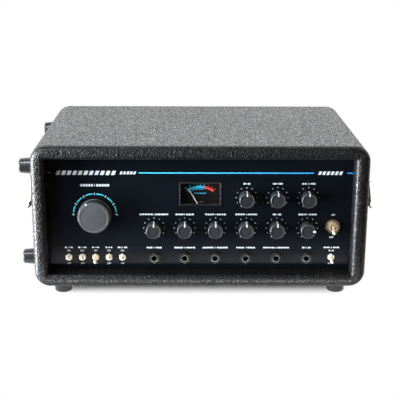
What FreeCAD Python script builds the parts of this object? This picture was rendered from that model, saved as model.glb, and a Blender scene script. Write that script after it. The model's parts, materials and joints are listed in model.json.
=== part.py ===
"""Tape echo unit: a two-part covered case with a control panel and a tape deck under its lid.

Row frame: +Z up, the floor at Z = 0, the front towards -Y, X = 0 in the middle. Millimetres.
"""
import FreeCAD, Part
import Sketcher
import math
import os
import re

doc = FreeCAD.newDocument("tape_echo")
sheet = doc.addObject("Spreadsheet::Sheet", "dims")
nodes = []

SIZES = [
    # case
    ("case_width", 420, "outside width"),
    ("case_depth", 275, "outside depth"),
    ("case_height", 183.5, "outside height without the feet"),
    ("seam_height", 138, "height of the joint between base and lid above the floor"),
    ("seam_gap", 0.6, "gap between base and lid"),
    ("side_wall", 18, "thickness of the side boards"),
    ("rear_wall", 18, "thickness of the rear boards"),
    ("top_board", 17, "thickness of the lid's top board"),
    ("bottom_board", 17, "thickness of the bottom board"),
    ("corner_round", 20, "radius of the four long corners"),
    ("edge_round", 9, "radius of the front and rear outer edges"),
    ("mouth_round", 6, "radius of the inner front edge"),
    ("window_side", 60, "opening in the rear board, from the case's sides"),
    ("window_head", 26, "opening in the rear board, top below the seam"),
    ("window_sill", 30, "opening in the rear board, height above the case's underside"),
    # feet
    ("foot_height", 14, "height of the feet under the case"),
    ("foot_radius", 11.8, "radius of the bottom feet"),
    ("foot_inset_side", 33, "bottom feet, centre from the case's side"),
    ("foot_inset_front", 30, "bottom feet, centre from the case's front and rear"),
    ("side_foot_height", 16, "how far the side feet stand out"),
    ("side_foot_radius", 10.3, "radius of the side feet at the wall"),
    ("side_foot_tip", 9.1, "radius of the side feet at the tip"),
    ("side_foot_inset", 27, "side feet, centre from the case's front and rear"),
    ("side_foot_rise", 33.5, "lower side feet above the case's underside"),
    ("side_foot_above", 29.5, "upper side feet above the seam"),
    # control panel
    ("panel_recess", 22, "panel face behind the front edge of the case"),
    ("panel_thick", 2, "thickness of the front panel"),
    ("panel_gap", 0.5, "gap between the panel and the case"),
    ("column_left", 133.5, "first knob column from the left wall"),
    ("column_right", 55.5, "sixth knob column from the right wall"),
    ("mid_row", 87, "height of the lower knob row"),
    ("high_row", 127.2, "height of the upper knob row"),
    ("jack_row", 47, "height of the jack row"),
    ("knob_radius", 9.6, "small knobs"),
    ("knob_height", 16, "face of the small knobs in front of the panel"),
    ("knob_gap", 0.8, "gap behind the small knobs"),
    ("knob_hollow", 7.2, "radius of the hollow behind a small knob"),
    ("knob_hollow_deep", 5.2, "end of that hollow in front of the panel"),
    ("shaft_radius", 3, "control shafts"),
    ("shaft_clearance", 0.05, "control shafts in their bushings"),
    ("pot_bushing", 3.5, "radius of the threaded bushing of a control"),
    ("pot_radius", 8.2, "radius of a control's can"),
    ("pot_depth", 10, "depth of a control's can"),
    ("pot_nose", 3.5, "bushing in front of the panel"),
    ("pot_nut", 6, "nut, across corners / 2"),
    ("pot_nut_thick", 2, "nut"),
    ("pointer_wide", 1.2, "pointer groove"),
    ("pointer_deep", 0.5, "pointer groove"),
    ("mode_in", 59, "mode knob from the left wall"),
    ("mode_z", 105, "mode knob"),
    ("mode_radius", 21.2, "mode knob"),
    ("mode_face", 18.5, "radius of the mode knob's face"),
    ("mode_height", 15.6, "face of the mode knob in front of the panel"),
    ("mode_gap", 2.4, "gap behind the mode knob"),
    ("mode_can", 17, "radius of the mode switch"),
    ("mode_depth", 24, "depth of the mode switch"),
    ("mode_bushing", 4.7, "radius of the mode switch's bushing"),
    ("mode_nut", 7.5, "mode switch nut, across corners / 2"),
    ("bushing_clearance", 0.1, "bushings in the panel's holes"),
    # jacks
    ("jack_bore", 3.2, "bore radius of a 6.35 mm jack"),
    ("jack_bushing", 4.7, "radius of the jack's threaded bushing"),
    ("jack_nose", 3.6, "bushing in front of the panel"),
    ("jack_nut", 7.85, "jack nut, across corners / 2"),
    ("jack_nut_thick", 2.8, "jack nut"),
    ("jack_body", 17, "width and height of the jack's body"),
    ("jack_depth", 27, "depth of the jack's body"),
    # toggles
    ("toggle_row", 48, "height of the small toggle row"),
    ("toggle_pitch", 17.1, "distance between the small toggles"),
    ("toggle_in", 24.4, "first small toggle from the left wall"),
    ("level_in", 23.5, "small toggle at the right, from the wall"),
    ("toggle_bushing", 3, "radius of a small toggle's bushing"),
    ("toggle_bore", 2.35, "bore of that bushing"),
    ("toggle_nose", 4.6, "bushing in front of the panel"),
    ("toggle_nut", 4.6, "nut, across corners / 2"),
    ("toggle_nut_thick", 2, "nut"),
    ("toggle_pivot", 1.4, "pivot of the small levers in front of the panel"),
    ("toggle_ball", 2.25, "radius of the pivot ball"),
    ("toggle_length", 13.4, "pivot to tip"),
    ("toggle_tip", 1.9, "radius of the tip"),
    ("toggle_neck", 1.1, "radius at the pivot"),
    ("toggle_tilt", 12, "degrees to each side"),
    ("toggle_body_wide", 7, "body"),
    ("toggle_body_high", 13, "body"),
    ("toggle_body_deep", 10, "body"),
    # power switch
    ("power_in", 23, "power switch from the right wall"),
    ("power_z", 89.5, "power switch"),
    ("power_bushing", 5.9, "radius of the power switch's bushing"),
    ("power_bore", 4.3, "bore of that bushing"),
    ("power_nose", 7, "bushing in front of the panel"),
    ("power_nut", 9, "dress nut radius"),
    ("power_nut_thick", 2.6, "dress nut"),
    ("power_pivot", 2.2, "pivot in front of the panel"),
    ("power_ball", 4.2, "radius of the pivot ball"),
    ("power_length", 17.5, "pivot to tip"),
    ("power_tip", 2.7, "radius of the tip"),
    ("power_neck", 1.7, "radius at the pivot"),
    ("power_tilt", 14, "degrees to each side"),
    ("power_body_wide", 15, "body"),
    ("power_body_high", 28, "body"),
    ("power_body_deep", 20, "body"),
    # meter
    ("meter_width", 52.5, "meter's front"),
    ("meter_height", 30.2, "meter's front"),
    ("meter_low", 117, "lower edge of the meter's front"),
    ("meter_rim", 1.7, "width of the meter's bezel"),
    ("meter_proud", 0.6, "meter's front in front of the panel"),
    ("meter_gap", 0.25, "meter in the panel's cut-out"),
    ("meter_depth", 28, "depth of the meter behind the panel"),
    ("meter_drop", 15, "how far the meter's body reaches below its front"),
    ("glass_thick", 1.5, "meter window"),
    ("dial_deep", 7, "dial face behind the meter's front"),
    ("needle_drop", 5.4, "needle pivot below the meter's front"),
    ("needle_length", 31, "pivot to tip"),
    ("needle_rest", 30, "degrees left of upright at rest"),
    ("needle_hub", 2.6, "radius of the needle's hub"),
    ("needle_pin", 0.8, "radius of the needle's pin"),
    # hinges
    ("hinge_in", 90, "hinge centre from the case's side"),
    ("hinge_width", 60, "length of a hinge"),
    ("hinge_leaf", 24, "height of a hinge leaf from the pin"),
    ("hinge_thick", 1.2, "thickness of a hinge leaf"),
    ("hinge_barrel", 2.2, "radius of the hinge barrel"),
    ("hinge_offset", 2.6, "pin behind the rear board"),
    ("hinge_pin", 1.1, "radius of the hinge pin"),
    ("hinge_knuckle", 20, "length of the lid's knuckle"),
    ("knuckle_gap", 0.3, "gap between knuckles"),
    ("leaf_gap", 2.6, "leaf above or below the pin"),
    # draw latches
    ("latch_y", 40, "latches, behind the front edge"),
    ("latch_plate_wide", 25, "plate"),
    ("plate_bottom", 26.5, "plate, lower edge below the seam"),
    ("plate_top", 4.5, "plate, upper edge below the seam"),
    ("latch_plate_thick", 1.2, "plate"),
    ("latch_pin_out", 3.4, "lever pin from the wall"),
    ("latch_pin_low", 12, "lever pin below the seam"),
    ("latch_pin", 0.9, "radius of the lever pin"),
    ("latch_ear", 1.5, "thickness of the ears"),
    ("latch_ear_out", 5.5, "outer face of the ears from the middle"),
    ("lever_half", 8.2, "half the lever's width"),
    ("lever_web", 1.2, "thickness of the lever's sides and cover"),
    ("lever_face", 7.4, "face of the lever from the wall"),
    ("loop_arm", 7, "lever pin to loop pin"),
    ("loop_angle", 30, "degrees of the loop pin outward of straight down"),
    ("loop_rise", 26, "loop pin to loop bar, upward"),
    ("loop_lean", 3.5, "loop pin to loop bar, inward"),
    ("loop_wire", 1.1, "radius of the loop's wire"),
    ("loop_pin", 0.8, "radius of the loop's pins"),
    ("loop_half", 9.8, "loop wire from the middle"),
    ("keeper_half", 6, "half the keeper's width"),
    ("keeper_thick", 1.2, "keeper"),
    ("keeper_slope", 20, "degrees of the keeper's tongue"),
    ("keeper_reach", 7, "tip of the tongue from the wall"),
    ("keeper_top", 12.4, "keeper, upper edge above the seam"),
    ("keeper_bottom", 1.6, "keeper, lower edge above the seam"),
    ("latch_clearance", 0.15, "running clearances in the latch"),
    # carry strap
    ("strap_low", 46, "middle of the strap below the seam"),
    ("strap_y", 8, "middle of the strap"),
    ("strap_span", 186, "length of the strap"),
    ("strap_width", 24, "strap"),
    ("strap_thick", 3.6, "strap"),
    ("strap_rise", 12, "gap between the wall and the middle of the strap"),
    ("strap_seat", 1.3, "strap's ends from the wall"),
    ("strap_gap", 0.3, "strap in its caps"),
    ("cap_length", 36, "strap end cap"),
    ("cap_width", 30, "strap end cap"),
    ("cap_height", 6.6, "strap end cap"),
    ("cap_end", 9, "solid end of a cap beyond the strap"),
    # screws
    ("screw_radius", 1.6, "shank"),
    ("screw_head", 3.1, "head radius"),
    ("screw_head_high", 1.7, "head height"),
    ("screw_depth", 15, "shank below the head"),
    ("screw_clearance", 0.05, "shank in its holes"),
    ("pin_seat", 0.02, "pressed pins, nuts and wheels on what carries them"),
    # chassis
    ("sheet_thick", 1.2, "chassis sheet"),
    ("chassis_gap", 0.5, "chassis inside the case"),
    ("flange_high", 6.5, "front flange of the chassis"),
    ("rear_panel_thick", 2, "rear panel"),
    ("rear_panel_margin", 8, "rear panel above the opening"),
    ("board_width", 240, "circuit board"),
    ("board_depth", 100, "circuit board"),
    ("board_thick", 1.6, "circuit board"),
    ("board_side", 11.5, "circuit board from the chassis's left wall"),
    ("board_share", 0.356, "part of the chassis's spare depth in front of the circuit board"),
    ("standoff_high", 10, "standoffs"),
    ("standoff_radius", 3, "standoffs"),
    ("standoff_inset", 6, "standoffs from the board's edges"),
    ("inlet_in", 30, "mains inlet from the side of the rear opening"),
    ("inlet_z", 78, "mains inlet"),
    ("inlet_width", 27, "mains inlet, body"),
    ("inlet_height", 20, "mains inlet, body"),
    ("inlet_depth", 24, "mains inlet, body"),
    ("inlet_flange", 48, "mains inlet, flange length"),
    ("inlet_flange_high", 26, "mains inlet, flange height"),
    ("inlet_flange_thick", 2.5, "mains inlet, flange"),
    ("inlet_cavity_wide", 24, "socket"),
    ("inlet_cavity_high", 16.4, "socket"),
    ("inlet_cavity_deep", 17, "socket"),
    ("core_width", 66, "transformer core"),
    ("core_height", 56, "transformer core"),
    ("core_stack", 28, "transformer core"),
    ("coil_width", 40, "transformer winding"),
    ("coil_depth", 50, "transformer winding"),
    ("coil_height", 30, "transformer winding"),
    ("core_foot", 8, "transformer foot plate beyond the core at each side"),
    ("core_share", 0.276, "part of the chassis's spare width at the transformer's side"),
    ("core_rear", 30.5, "transformer winding from the rear panel"),
    ("foot_plate", 1.6, "transformer foot plate"),
    ("tank_length", 216, "spring tank, pan"),
    ("tank_depth", 66, "spring tank, pan"),
    ("tank_height", 30, "spring tank, pan"),
    ("tank_share", 0.127, "part of the chassis's spare width at the spring tank's side"),
    ("tank_rear", 8.5, "spring tank from the rear panel"),
    ("tank_flange", 9, "spring tank, flange"),
    # tape deck
    ("deck_low", 2, "top of the deck plate below the seam"),
    ("deck_thick", 2, "deck plate"),
    ("deck_inset", 51.5, "front edge of the deck behind the panel"),
    ("tape_inset", 22, "tape run behind the deck's front edge"),
    ("tape_in", 16, "tape run at the sides, from the bin's sides"),
    ("tape_low", 8.8, "lower edge of the tape above the deck"),
    ("tape_width", 6.35, "tape"),
    ("tape_thick", 0.3, "tape band"),
    ("tape_gap", 0.25, "tape from what guides it"),
    ("tape_bend", 15, "radius of the tape's bends in the bin"),
    ("guide_radius", 3, "guide posts"),
    ("guide_flange", 4.6, "guide post flanges"),
    ("guide_high", 17, "guide posts above the deck"),
    ("head_width", 13, "tape heads"),
    ("head_depth", 13, "tape heads"),
    ("head_high", 18, "tape heads above the deck"),
    ("head_foot", 5, "height of the head's foot"),
    ("head_out", 104, "last head from the right end of the tape run"),
    ("head_in", 56, "first head from the left end of the tape run"),
    ("bin_side", 19.5, "tape bin from the chassis's walls"),
    ("bin_inset", 72, "front of the tape bin behind the deck's front edge"),
    ("bin_back", 7.5, "tape bin from the rear board"),
    ("bin_high", 23.5, "tape bin above the deck"),
    ("bin_wall", 2.5, "tape bin wall"),
    ("bin_floor", 2, "tape bin floor"),
    ("bin_mouth", 14, "tape bin mouths"),
    ("cover_thick", 2, "clear cover of the tape bin"),
    ("capstan_in", 38, "capstan from the right end of the tape run"),
    ("capstan_radius", 3, "capstan"),
    ("capstan_high", 22, "capstan above the deck"),
    ("bearing_radius", 8, "capstan bearing"),
    ("bearing_long", 40, "capstan bearing below the deck"),
    ("flywheel_radius", 30, "flywheel"),
    ("flywheel_thick", 8, "flywheel"),
    ("flywheel_drop", 60, "flywheel's lower face below the top of the deck"),
    ("motor_side", 68, "capstan motor to the left of the capstan"),
    ("motor_inset", 74, "capstan motor behind the deck's front edge"),
    ("motor_radius", 22, "capstan motor"),
    ("motor_high", 44, "capstan motor"),
    ("pulley_radius", 7.5, "motor pulley"),
    ("motor_shaft", 1.5, "motor shaft"),
    ("belt_thick", 1, "drive belt"),
    ("belt_wide", 4, "drive belt"),
    ("belt_gap", 0.2, "belt from its wheels"),
    ("roller_radius", 8, "pinch roller"),
    ("roller_high", 13, "pinch roller"),
    ("roller_pin", 2, "pinch roller pin"),
    ("roller_space", 2.5, "pinch roller from the tape at rest"),
    ("arm_length", 24, "pinch arm, pivot to roller"),
    ("arm_thick", 3, "pinch arm"),
    ("arm_half", 5, "half the pinch arm's width"),
    ("arm_gap", 1, "pinch arm above the deck"),
    ("pivot_pin", 2.5, "pinch arm's pivot"),
]


# places that follow from the sizes, with X and Y from the middle of the case and Z from the floor
DERIVED = [
    ("inner_half", "case_width/2 - side_wall", "inner face of the side boards"),
    ("chassis_half", "inner_half - chassis_gap", "sides of the chassis"),
    ("chassis_depth", "case_depth - panel_recess - panel_thick - rear_wall - rear_panel_thick", "panel to panel"),
    ("window_width", "case_width - 2*window_side", "opening in the rear board, width"),
    ("window_height", "seam_height - window_head - foot_height - window_sill", "that opening, height"),
    ("side_foot_low", "foot_height + side_foot_rise", "height of the lower side feet"),
    ("side_foot_high", "seam_height + side_foot_above", "height of the upper side feet"),
    ("first_column", "column_left - inner_half", "X of the first knob column"),
    ("column_pitch", "(2*inner_half - column_left - column_right)/5", "distance between the knob columns"),
    ("mode_x", "mode_in - inner_half", "X of the mode knob"),
    ("first_toggle", "toggle_in - inner_half", "X of the first small toggle"),
    ("level_x", "inner_half - level_in", "X of the small toggle at the right"),
    ("power_x", "inner_half - power_in", "X of the power switch"),
    ("hinge_x", "case_width/2 - hinge_in", "hinge centre from the middle"),
    ("latch_plate_low", "seam_height - plate_bottom", "latch plate, lower edge"),
    ("latch_plate_high", "seam_height - plate_top", "latch plate, upper edge"),
    ("latch_pin_z", "seam_height - latch_pin_low", "height of the lever pin"),
    ("keeper_high", "seam_height + keeper_top", "upper edge of the keeper"),
    ("keeper_low", "seam_height + keeper_bottom", "lower edge of the keeper"),
    ("strap_z", "seam_height - strap_low", "height of the strap"),
    ("spare_width", "2*chassis_half - tank_length - 2*tank_flange - core_width - 2*core_foot", "chassis width left"),
    ("spare_depth", "chassis_depth - jack_depth - board_depth - tank_depth - tank_rear", "chassis depth left"),
    ("board_x", "board_side + board_width/2 - chassis_half", "middle of the circuit board"),
    ("board_y", "panel_recess + panel_thick - case_depth/2 + jack_depth + board_share*spare_depth + board_depth/2",
     "middle of the circuit board"),
    ("core_x", "chassis_half - core_share*spare_width - core_foot - core_width/2", "middle of the transformer"),
    ("core_y", "case_depth/2 - rear_wall - rear_panel_thick - core_rear - coil_depth/2", "middle of the transformer"),
    ("tank_x", "tank_share*spare_width + tank_flange + tank_length/2 - chassis_half", "middle of the spring tank"),
    ("tank_y", "case_depth/2 - rear_wall - rear_panel_thick - tank_rear - tank_depth/2", "middle of the spring tank"),
    ("inlet_x", "window_width/2 - inlet_in", "mains inlet"),
    ("deck_top", "seam_height - deck_low", "top of the deck plate"),
    ("deck_front", "case_depth/2 - panel_recess - panel_thick - deck_inset", "front edge of the deck, forward"),
    ("bin_half", "chassis_half - bin_side", "tape bin, half its length"),
    ("bin_front", "bin_inset - deck_front", "front of the tape bin"),
    ("bin_rear", "case_depth/2 - rear_wall - bin_back", "rear of the tape bin"),
    ("tape_front", "deck_front - tape_inset", "tape run, forward"),
    ("tape_side", "bin_half - tape_in", "tape run at the sides"),
    ("head_pitch", "(2*tape_side - head_in - head_out)/4", "distance between the heads"),
    ("first_head", "head_in - tape_side", "X of the first head"),
    ("capstan_x", "tape_side - capstan_in", "capstan"),
    ("flywheel_low", "deck_top - flywheel_drop", "height of the flywheel's lower face"),
    ("motor_x", "capstan_x - motor_side", "capstan motor"),
    ("motor_y", "motor_inset - deck_front", "capstan motor"),
]


def fill_sheet():
    formulas = [(alias, "=" + text, note) for alias, text, note in DERIVED]
    for row, (alias, content, note) in enumerate(SIZES + formulas, start=1):
        sheet.set("A%d" % row, alias)
        sheet.set("B%d" % row, str(content))
        sheet.set("C%d" % row, note)
        sheet.setAlias("B%d" % row, alias)
    doc.recompute()


fill_sheet()
NAMES = {alias for alias, content, note in SIZES + DERIVED}


# ---------------------------------------------------------------- expressions

def bound(text):
    """The sheet expression for a formula written with the sizes' plain names."""
    return re.sub(r"[a-z_]+", lambda m: "dims." + m.group() if m.group() in NAMES else m.group(), text)


def num(text):
    """The present value of such a formula."""
    found = sheet.evalExpression(bound(text))
    return float(getattr(found, "Value", found))


def bind(obj, **formulas):
    """Binds properties to formulas."""
    for name, text in formulas.items():
        obj.setExpression(name, bound(text))
    return obj


TURNS = {
    "+Z": FreeCAD.Rotation(),
    "-Z": FreeCAD.Rotation(FreeCAD.Vector(1, 0, 0), 180),
    "-Y": FreeCAD.Rotation(FreeCAD.Vector(1, 0, 0), 90),
    "+Y": FreeCAD.Rotation(FreeCAD.Vector(1, 0, 0), -90),
    "-X": FreeCAD.Rotation(FreeCAD.Vector(0, 1, 0), -90),
    "+X": FreeCAD.Rotation(FreeCAD.Vector(0, 1, 0), 90),
}


def place(obj, x="0", y="0", z="0", axis="+Z", spin=0):
    """Stands an object at a point with its own Z along an axis, turned by spin about it."""
    own_spin = FreeCAD.Rotation(FreeCAD.Vector(0, 0, 1), spin)
    obj.Placement = FreeCAD.Placement(FreeCAD.Vector(), TURNS[axis].multiply(own_spin))
    for key, text in zip("xyz", (x, y, z)):
        obj.setExpression(".Placement.Base." + key, bound(text))
    return obj


def node(obj, label=None):
    """Registers a finished sub-part."""
    if label:
        obj.Label = label
    nodes.append(obj)
    return obj


# ---------------------------------------------------------------- part primitives

def box(name, x, y, z, wide, deep, high):
    made = doc.addObject("Part::Box", name)
    bind(made, Length=wide, Width=deep, Height=high)
    return place(made, x, y, z)


def cylinder(name, x, y, z, radius, length, axis="+Z"):
    made = doc.addObject("Part::Cylinder", name)
    bind(made, Radius=radius, Height=length)
    return place(made, x, y, z, axis)


def hexagon(name, x, y, z, radius, length, axis="+Z", spin=0):
    made = doc.addObject("Part::Prism", name)
    made.Polygon = 6
    bind(made, Circumradius=radius, Height=length)
    return place(made, x, y, z, axis, spin)


def fuse(name, shapes):
    made = doc.addObject("Part::MultiFuse", name)
    made.Shapes = shapes
    made.Refine = True
    return made


def cut(name, base, tools):
    """Base less the tools: one object, or a list that is fused first."""
    if isinstance(tools, list):
        tools = group(name + "_tools", tools)
    made = doc.addObject("Part::Cut", name)
    made.Base = base
    made.Tool = tools
    return made


def group(name, shapes):
    made = doc.addObject("Part::Compound", name)
    made.Links = shapes
    return made


def feature(name, shape):
    made = doc.addObject("Part::Feature", name)
    made.Shape = shape
    return made


def edges_where(shape, test):
    """Numbers, from 1, of the edges whose box passes the test."""
    return [i for i, edge in enumerate(shape.Edges, start=1) if test(edge.BoundBox)]


def rounded(name, base, radius, test):
    doc.recompute()
    made = doc.addObject("Part::Fillet", name)
    made.Base = base
    made.Edges = [(i, num(radius), num(radius)) for i in edges_where(base.Shape, test)]
    return made


# ---------------------------------------------------------------- part design

def new_body(name):
    return doc.addObject("PartDesign::Body", name)


def sketch(body, role, offset=None):
    plane = [f for f in body.Origin.OriginFeatures if f.Role == role][0]
    made = body.newObject("Sketcher::SketchObject", body.Name + "_sketch")
    made.AttachmentSupport = [(plane, "")]
    made.MapMode = "FlatFace"
    if offset:
        made.setExpression(".AttachmentOffset.Base.z", bound(offset))
    return made


def outline(made, points):
    """A closed polygon whose corners are held at the given formulas."""
    corners = [FreeCAD.Vector(num(a), num(b), 0) for a, b in points]
    lines = []
    for start, end in zip(corners, corners[1:] + corners[:1]):
        lines.append(made.addGeometry(Part.LineSegment(start, end), False))
    for line, following in zip(lines, lines[1:] + lines[:1]):
        made.addConstraint(Sketcher.Constraint("Coincident", line, 2, following, 1))
    for line, corner, formulas in zip(lines, corners, points):
        across = made.addConstraint(Sketcher.Constraint("DistanceX", -1, 1, line, 1, corner.x))
        upward = made.addConstraint(Sketcher.Constraint("DistanceY", -1, 1, line, 1, corner.y))
        made.setExpression("Constraints[%d]" % across, bound(formulas[0]))
        made.setExpression("Constraints[%d]" % upward, bound(formulas[1]))
    return made


def rectangle(made, left, low, right, high):
    return outline(made, [(left, low), (right, low), (right, high), (left, high)])


def circle(made, x, y, radius):
    shape = Part.Circle(FreeCAD.Vector(num(x), num(y), 0), FreeCAD.Vector(0, 0, 1), num(radius))
    ring = made.addGeometry(shape, False)
    for kind, text, spot in (("DistanceX", x, num(x)), ("DistanceY", y, num(y))):
        held = made.addConstraint(Sketcher.Constraint(kind, -1, 1, ring, 3, spot))
        made.setExpression("Constraints[%d]" % held, bound(text))
    held = made.addConstraint(Sketcher.Constraint("Radius", ring, num(radius)))
    made.setExpression("Constraints[%d]" % held, bound(radius))
    return made


def pad(body, profile, length, both_ways=False, backwards=False):
    made = body.newObject("PartDesign::Pad", body.Name + "_pad")
    made.Profile = profile
    made.SideType = "Symmetric" if both_ways else "One side"
    made.Reversed = backwards
    return bind(made, Length=length)


def pocket(body, profile, length=None, backwards=False, both_ways=False):
    """Cuts against the sketch's normal, or along it when backwards; through all with no length."""
    made = body.newObject("PartDesign::Pocket", body.Name + "_pocket")
    made.Profile = profile
    made.SideType = "Symmetric" if both_ways else "One side"
    made.Reversed = backwards
    if length:
        bind(made, Length=length)
    else:
        made.Type = "ThroughAll"
    return made


def soften(body, radius, test):
    """Rounds the chosen edges of what the body has so far."""
    doc.recompute()
    last = body.Tip
    made = body.newObject("PartDesign::Fillet", body.Name + "_round")
    made.Base = (last, ["Edge%d" % i for i in edges_where(last.Shape, test)])
    return bind(made, Radius=radius)


def turned(name, points, x="0", y="0", z="0", axis="+Z", spin=0):
    """A lathe-turned body from (radius, height) corners about its own Z."""
    body = new_body(name)
    profile = outline(sketch(body, "XZ_Plane"), points)
    made = body.newObject("PartDesign::Revolution", name + "_turn")
    made.Profile = profile
    made.ReferenceAxis = (profile, ["V_Axis"])
    made.Angle = 360
    return place(body, x, y, z, axis, spin)


# ---------------------------------------------------------------- shared places

FRONT = "(-case_depth/2)"
PANEL = "(-case_depth/2 + panel_recess)"
PANEL_BACK = "(-case_depth/2 + panel_recess + panel_thick)"
SIDE_IN = "inner_half"
FLOOR_IN = "(foot_height + bottom_board)"
CEILING = "(foot_height + case_height - top_board)"
REAR_IN = "(case_depth/2 - rear_wall)"
HINGE_Y = "(case_depth/2 + hinge_offset)"
LATCH_Y = "(-case_depth/2 + latch_y)"
CHASSIS_SIDE = "chassis_half"
CHASSIS_REAR = "(case_depth/2 - rear_wall - rear_panel_thick)"
DECK_UNDER = "(deck_top - deck_thick)"
TAPE_LOW = "(deck_top + tape_low)"
CAPSTAN_Y = "(-tape_front + tape_gap + capstan_radius)"
ROLLER_Y = "(-tape_front - tape_thick - roller_space - roller_radius)"
COLUMNS = ["first_column + %d*column_pitch" % i for i in range(6)]
TOGGLES = ["first_toggle + %d*toggle_pitch" % i for i in range(5)]

# name, column, row, degrees clockwise of upright at rest
KNOBS = [
    ("input_volume_knob", 0, "mid_row", 0),
    ("chorus_rate_knob", 1, "mid_row", 0),
    ("chorus_depth_knob", 2, "mid_row", 0),
    ("reverb_volume_knob", 3, "mid_row", 0),
    ("tape_speed_knob", 4, "mid_row", 0),
    ("echo_volume_knob", 5, "mid_row", 90),
    ("bass_knob", 3, "high_row", 0),
    ("treble_knob", 4, "high_row", 0),
    ("feedback_knob", 5, "high_row", 0),
]


# ---------------------------------------------------------------- screws

def screw_places():
    """Every wood screw of the base: the point under its head and the way the head faces."""
    places = []
    for side, axis in ((-1, "-X"), (1, "+X")):
        for level in ("latch_plate_low + 3.8", "latch_plate_high - 3"):
            face = "%d*(case_width/2 + latch_plate_thick)" % side
            places.append((face, LATCH_Y, level, axis))
    for end in (-1, 1):
        spot = "strap_y + %d*(strap_span/2 + cap_end/2)" % end
        places.append(("case_width/2 + cap_height", spot, "strap_z", "+X"))
    for hinge in (-1, 1):
        for shift in (-1, 1):
            spot = "%d*hinge_x + %d*hinge_width/3" % (hinge, shift)
            level = "seam_height - hinge_leaf/2 - leaf_gap/2"
            places.append((spot, "case_depth/2 + hinge_thick", level, "+Y"))
    return places


def screws():
    made = []
    for i, (x, y, z, axis) in enumerate(screw_places()):
        points = [("0", "-screw_depth"), ("screw_radius", "-screw_depth"), ("screw_radius", "0"),
                  ("screw_head", "0"), ("screw_head", "screw_head_high/2"),
                  ("screw_head*0.6", "screw_head_high"), ("0", "screw_head_high")]
        made.append(turned("screw%d" % i, points, x, y, z, axis))
    return node(group("case_screws", made))


def screw_holes(name):
    """Cylinders that clear the screws' shanks."""
    made = []
    for i, (x, y, z, axis) in enumerate(screw_places()):
        hole = cylinder("%s_hole%d" % (name, i), x, y, z, "screw_radius + screw_clearance", "2*screw_depth", axis)
        sign = {"-X": "+", "+X": "-", "+Y": "-"}[axis]
        if axis == "+Y":
            bind(hole, **{".Placement.Base.y": y + sign + "(screw_depth + 0.5)"})
        else:
            bind(hole, **{".Placement.Base.x": x + sign + "(screw_depth + 0.5)"})
        made.append(hole)
    return made


# ---------------------------------------------------------------- case

def cabinet(name, low, high, inner_low, inner_high, corner_level, open_level):
    """One covered half of the case: boards around a hollow that is open at the front and the seam."""
    body = new_body(name)
    profile = rectangle(sketch(body, "XZ_Plane"), "-case_width/2", low, "case_width/2", high)
    pad(body, profile, "case_depth", both_ways=True)
    corner = num(corner_level)
    opened = num(open_level)
    depth = num("case_depth/2")
    inner = num(SIDE_IN)
    soften(body, "corner_round", lambda b: b.YLength > 1 and abs(b.ZMin - corner) < 0.1 and b.ZLength < 0.1
           and b.XLength < 0.1)
    soften(body, "edge_round", lambda b: b.YLength < 0.1 and abs(abs(b.YMin) - depth) < 0.1
           and not (abs(b.ZMin - opened) < 0.1 and b.ZLength < 0.1))
    hollow = sketch(body, "XZ_Plane", "-" + REAR_IN)
    rectangle(hollow, "-" + SIDE_IN, inner_low, SIDE_IN, inner_high)
    pocket(body, hollow, backwards=True)
    soften(body, "mouth_round", lambda b: b.YLength < 0.1 and abs(b.YMin + depth) < 0.1
           and b.XMin > -inner - 0.1 and b.XMax < inner + 0.1
           and b.ZMin > num(inner_low) - 0.1 and b.ZMax < num(inner_high) + 0.1)
    return body


def base_cabinet():
    seam = "seam_height - seam_gap/2"
    body = cabinet("base_shell", "foot_height", seam, FLOOR_IN, "seam_height", "foot_height", seam)
    window = sketch(body, "XZ_Plane", "-case_depth/2")
    rectangle(window, "-window_width/2", "foot_height + window_sill",
              "window_width/2", "foot_height + window_sill + window_height")
    pocket(body, window, "rear_wall", backwards=True)
    return node(cut("base_cabinet", body, screw_holes("base")))


def lid_cabinet():
    seam = "seam_height + seam_gap/2"
    top = "foot_height + case_height"
    return node(cabinet("lid_cabinet", seam, top, "seam_height", CEILING, top, seam))


def side_foot(name, y, z):
    points = [("0", "0"), ("side_foot_radius", "0"), ("side_foot_tip", "side_foot_height - 1.5"),
              ("side_foot_tip - 1.5", "side_foot_height"), ("0", "side_foot_height")]
    return turned(name, points, "-case_width/2", y, z, "-X")


def side_feet(name, level):
    spots = (FRONT + " + side_foot_inset", "case_depth/2 - side_foot_inset")
    return [side_foot("%s%d" % (name, i), y, level) for i, y in enumerate(spots)]


def base_feet():
    points = [("0", "0"), ("foot_radius - 2.2", "0"), ("foot_radius - 0.6", "1.5"),
              ("foot_radius", "foot_height"), ("0", "foot_height")]
    made = []
    for i, (a, b) in enumerate(((-1, -1), (1, -1), (-1, 1), (1, 1))):
        x = "%d*(case_width/2 - foot_inset_side)" % a
        y = "%d*(case_depth/2 - foot_inset_front)" % b
        made.append(turned("bottom_foot%d" % i, points, x, y, "0"))
    return node(group("base_feet", made + side_feet("low_side_foot", "side_foot_low")))


def lid_feet():
    return node(group("lid_feet", side_feet("high_side_foot", "side_foot_high")))


# ---------------------------------------------------------------- hinges

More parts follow.
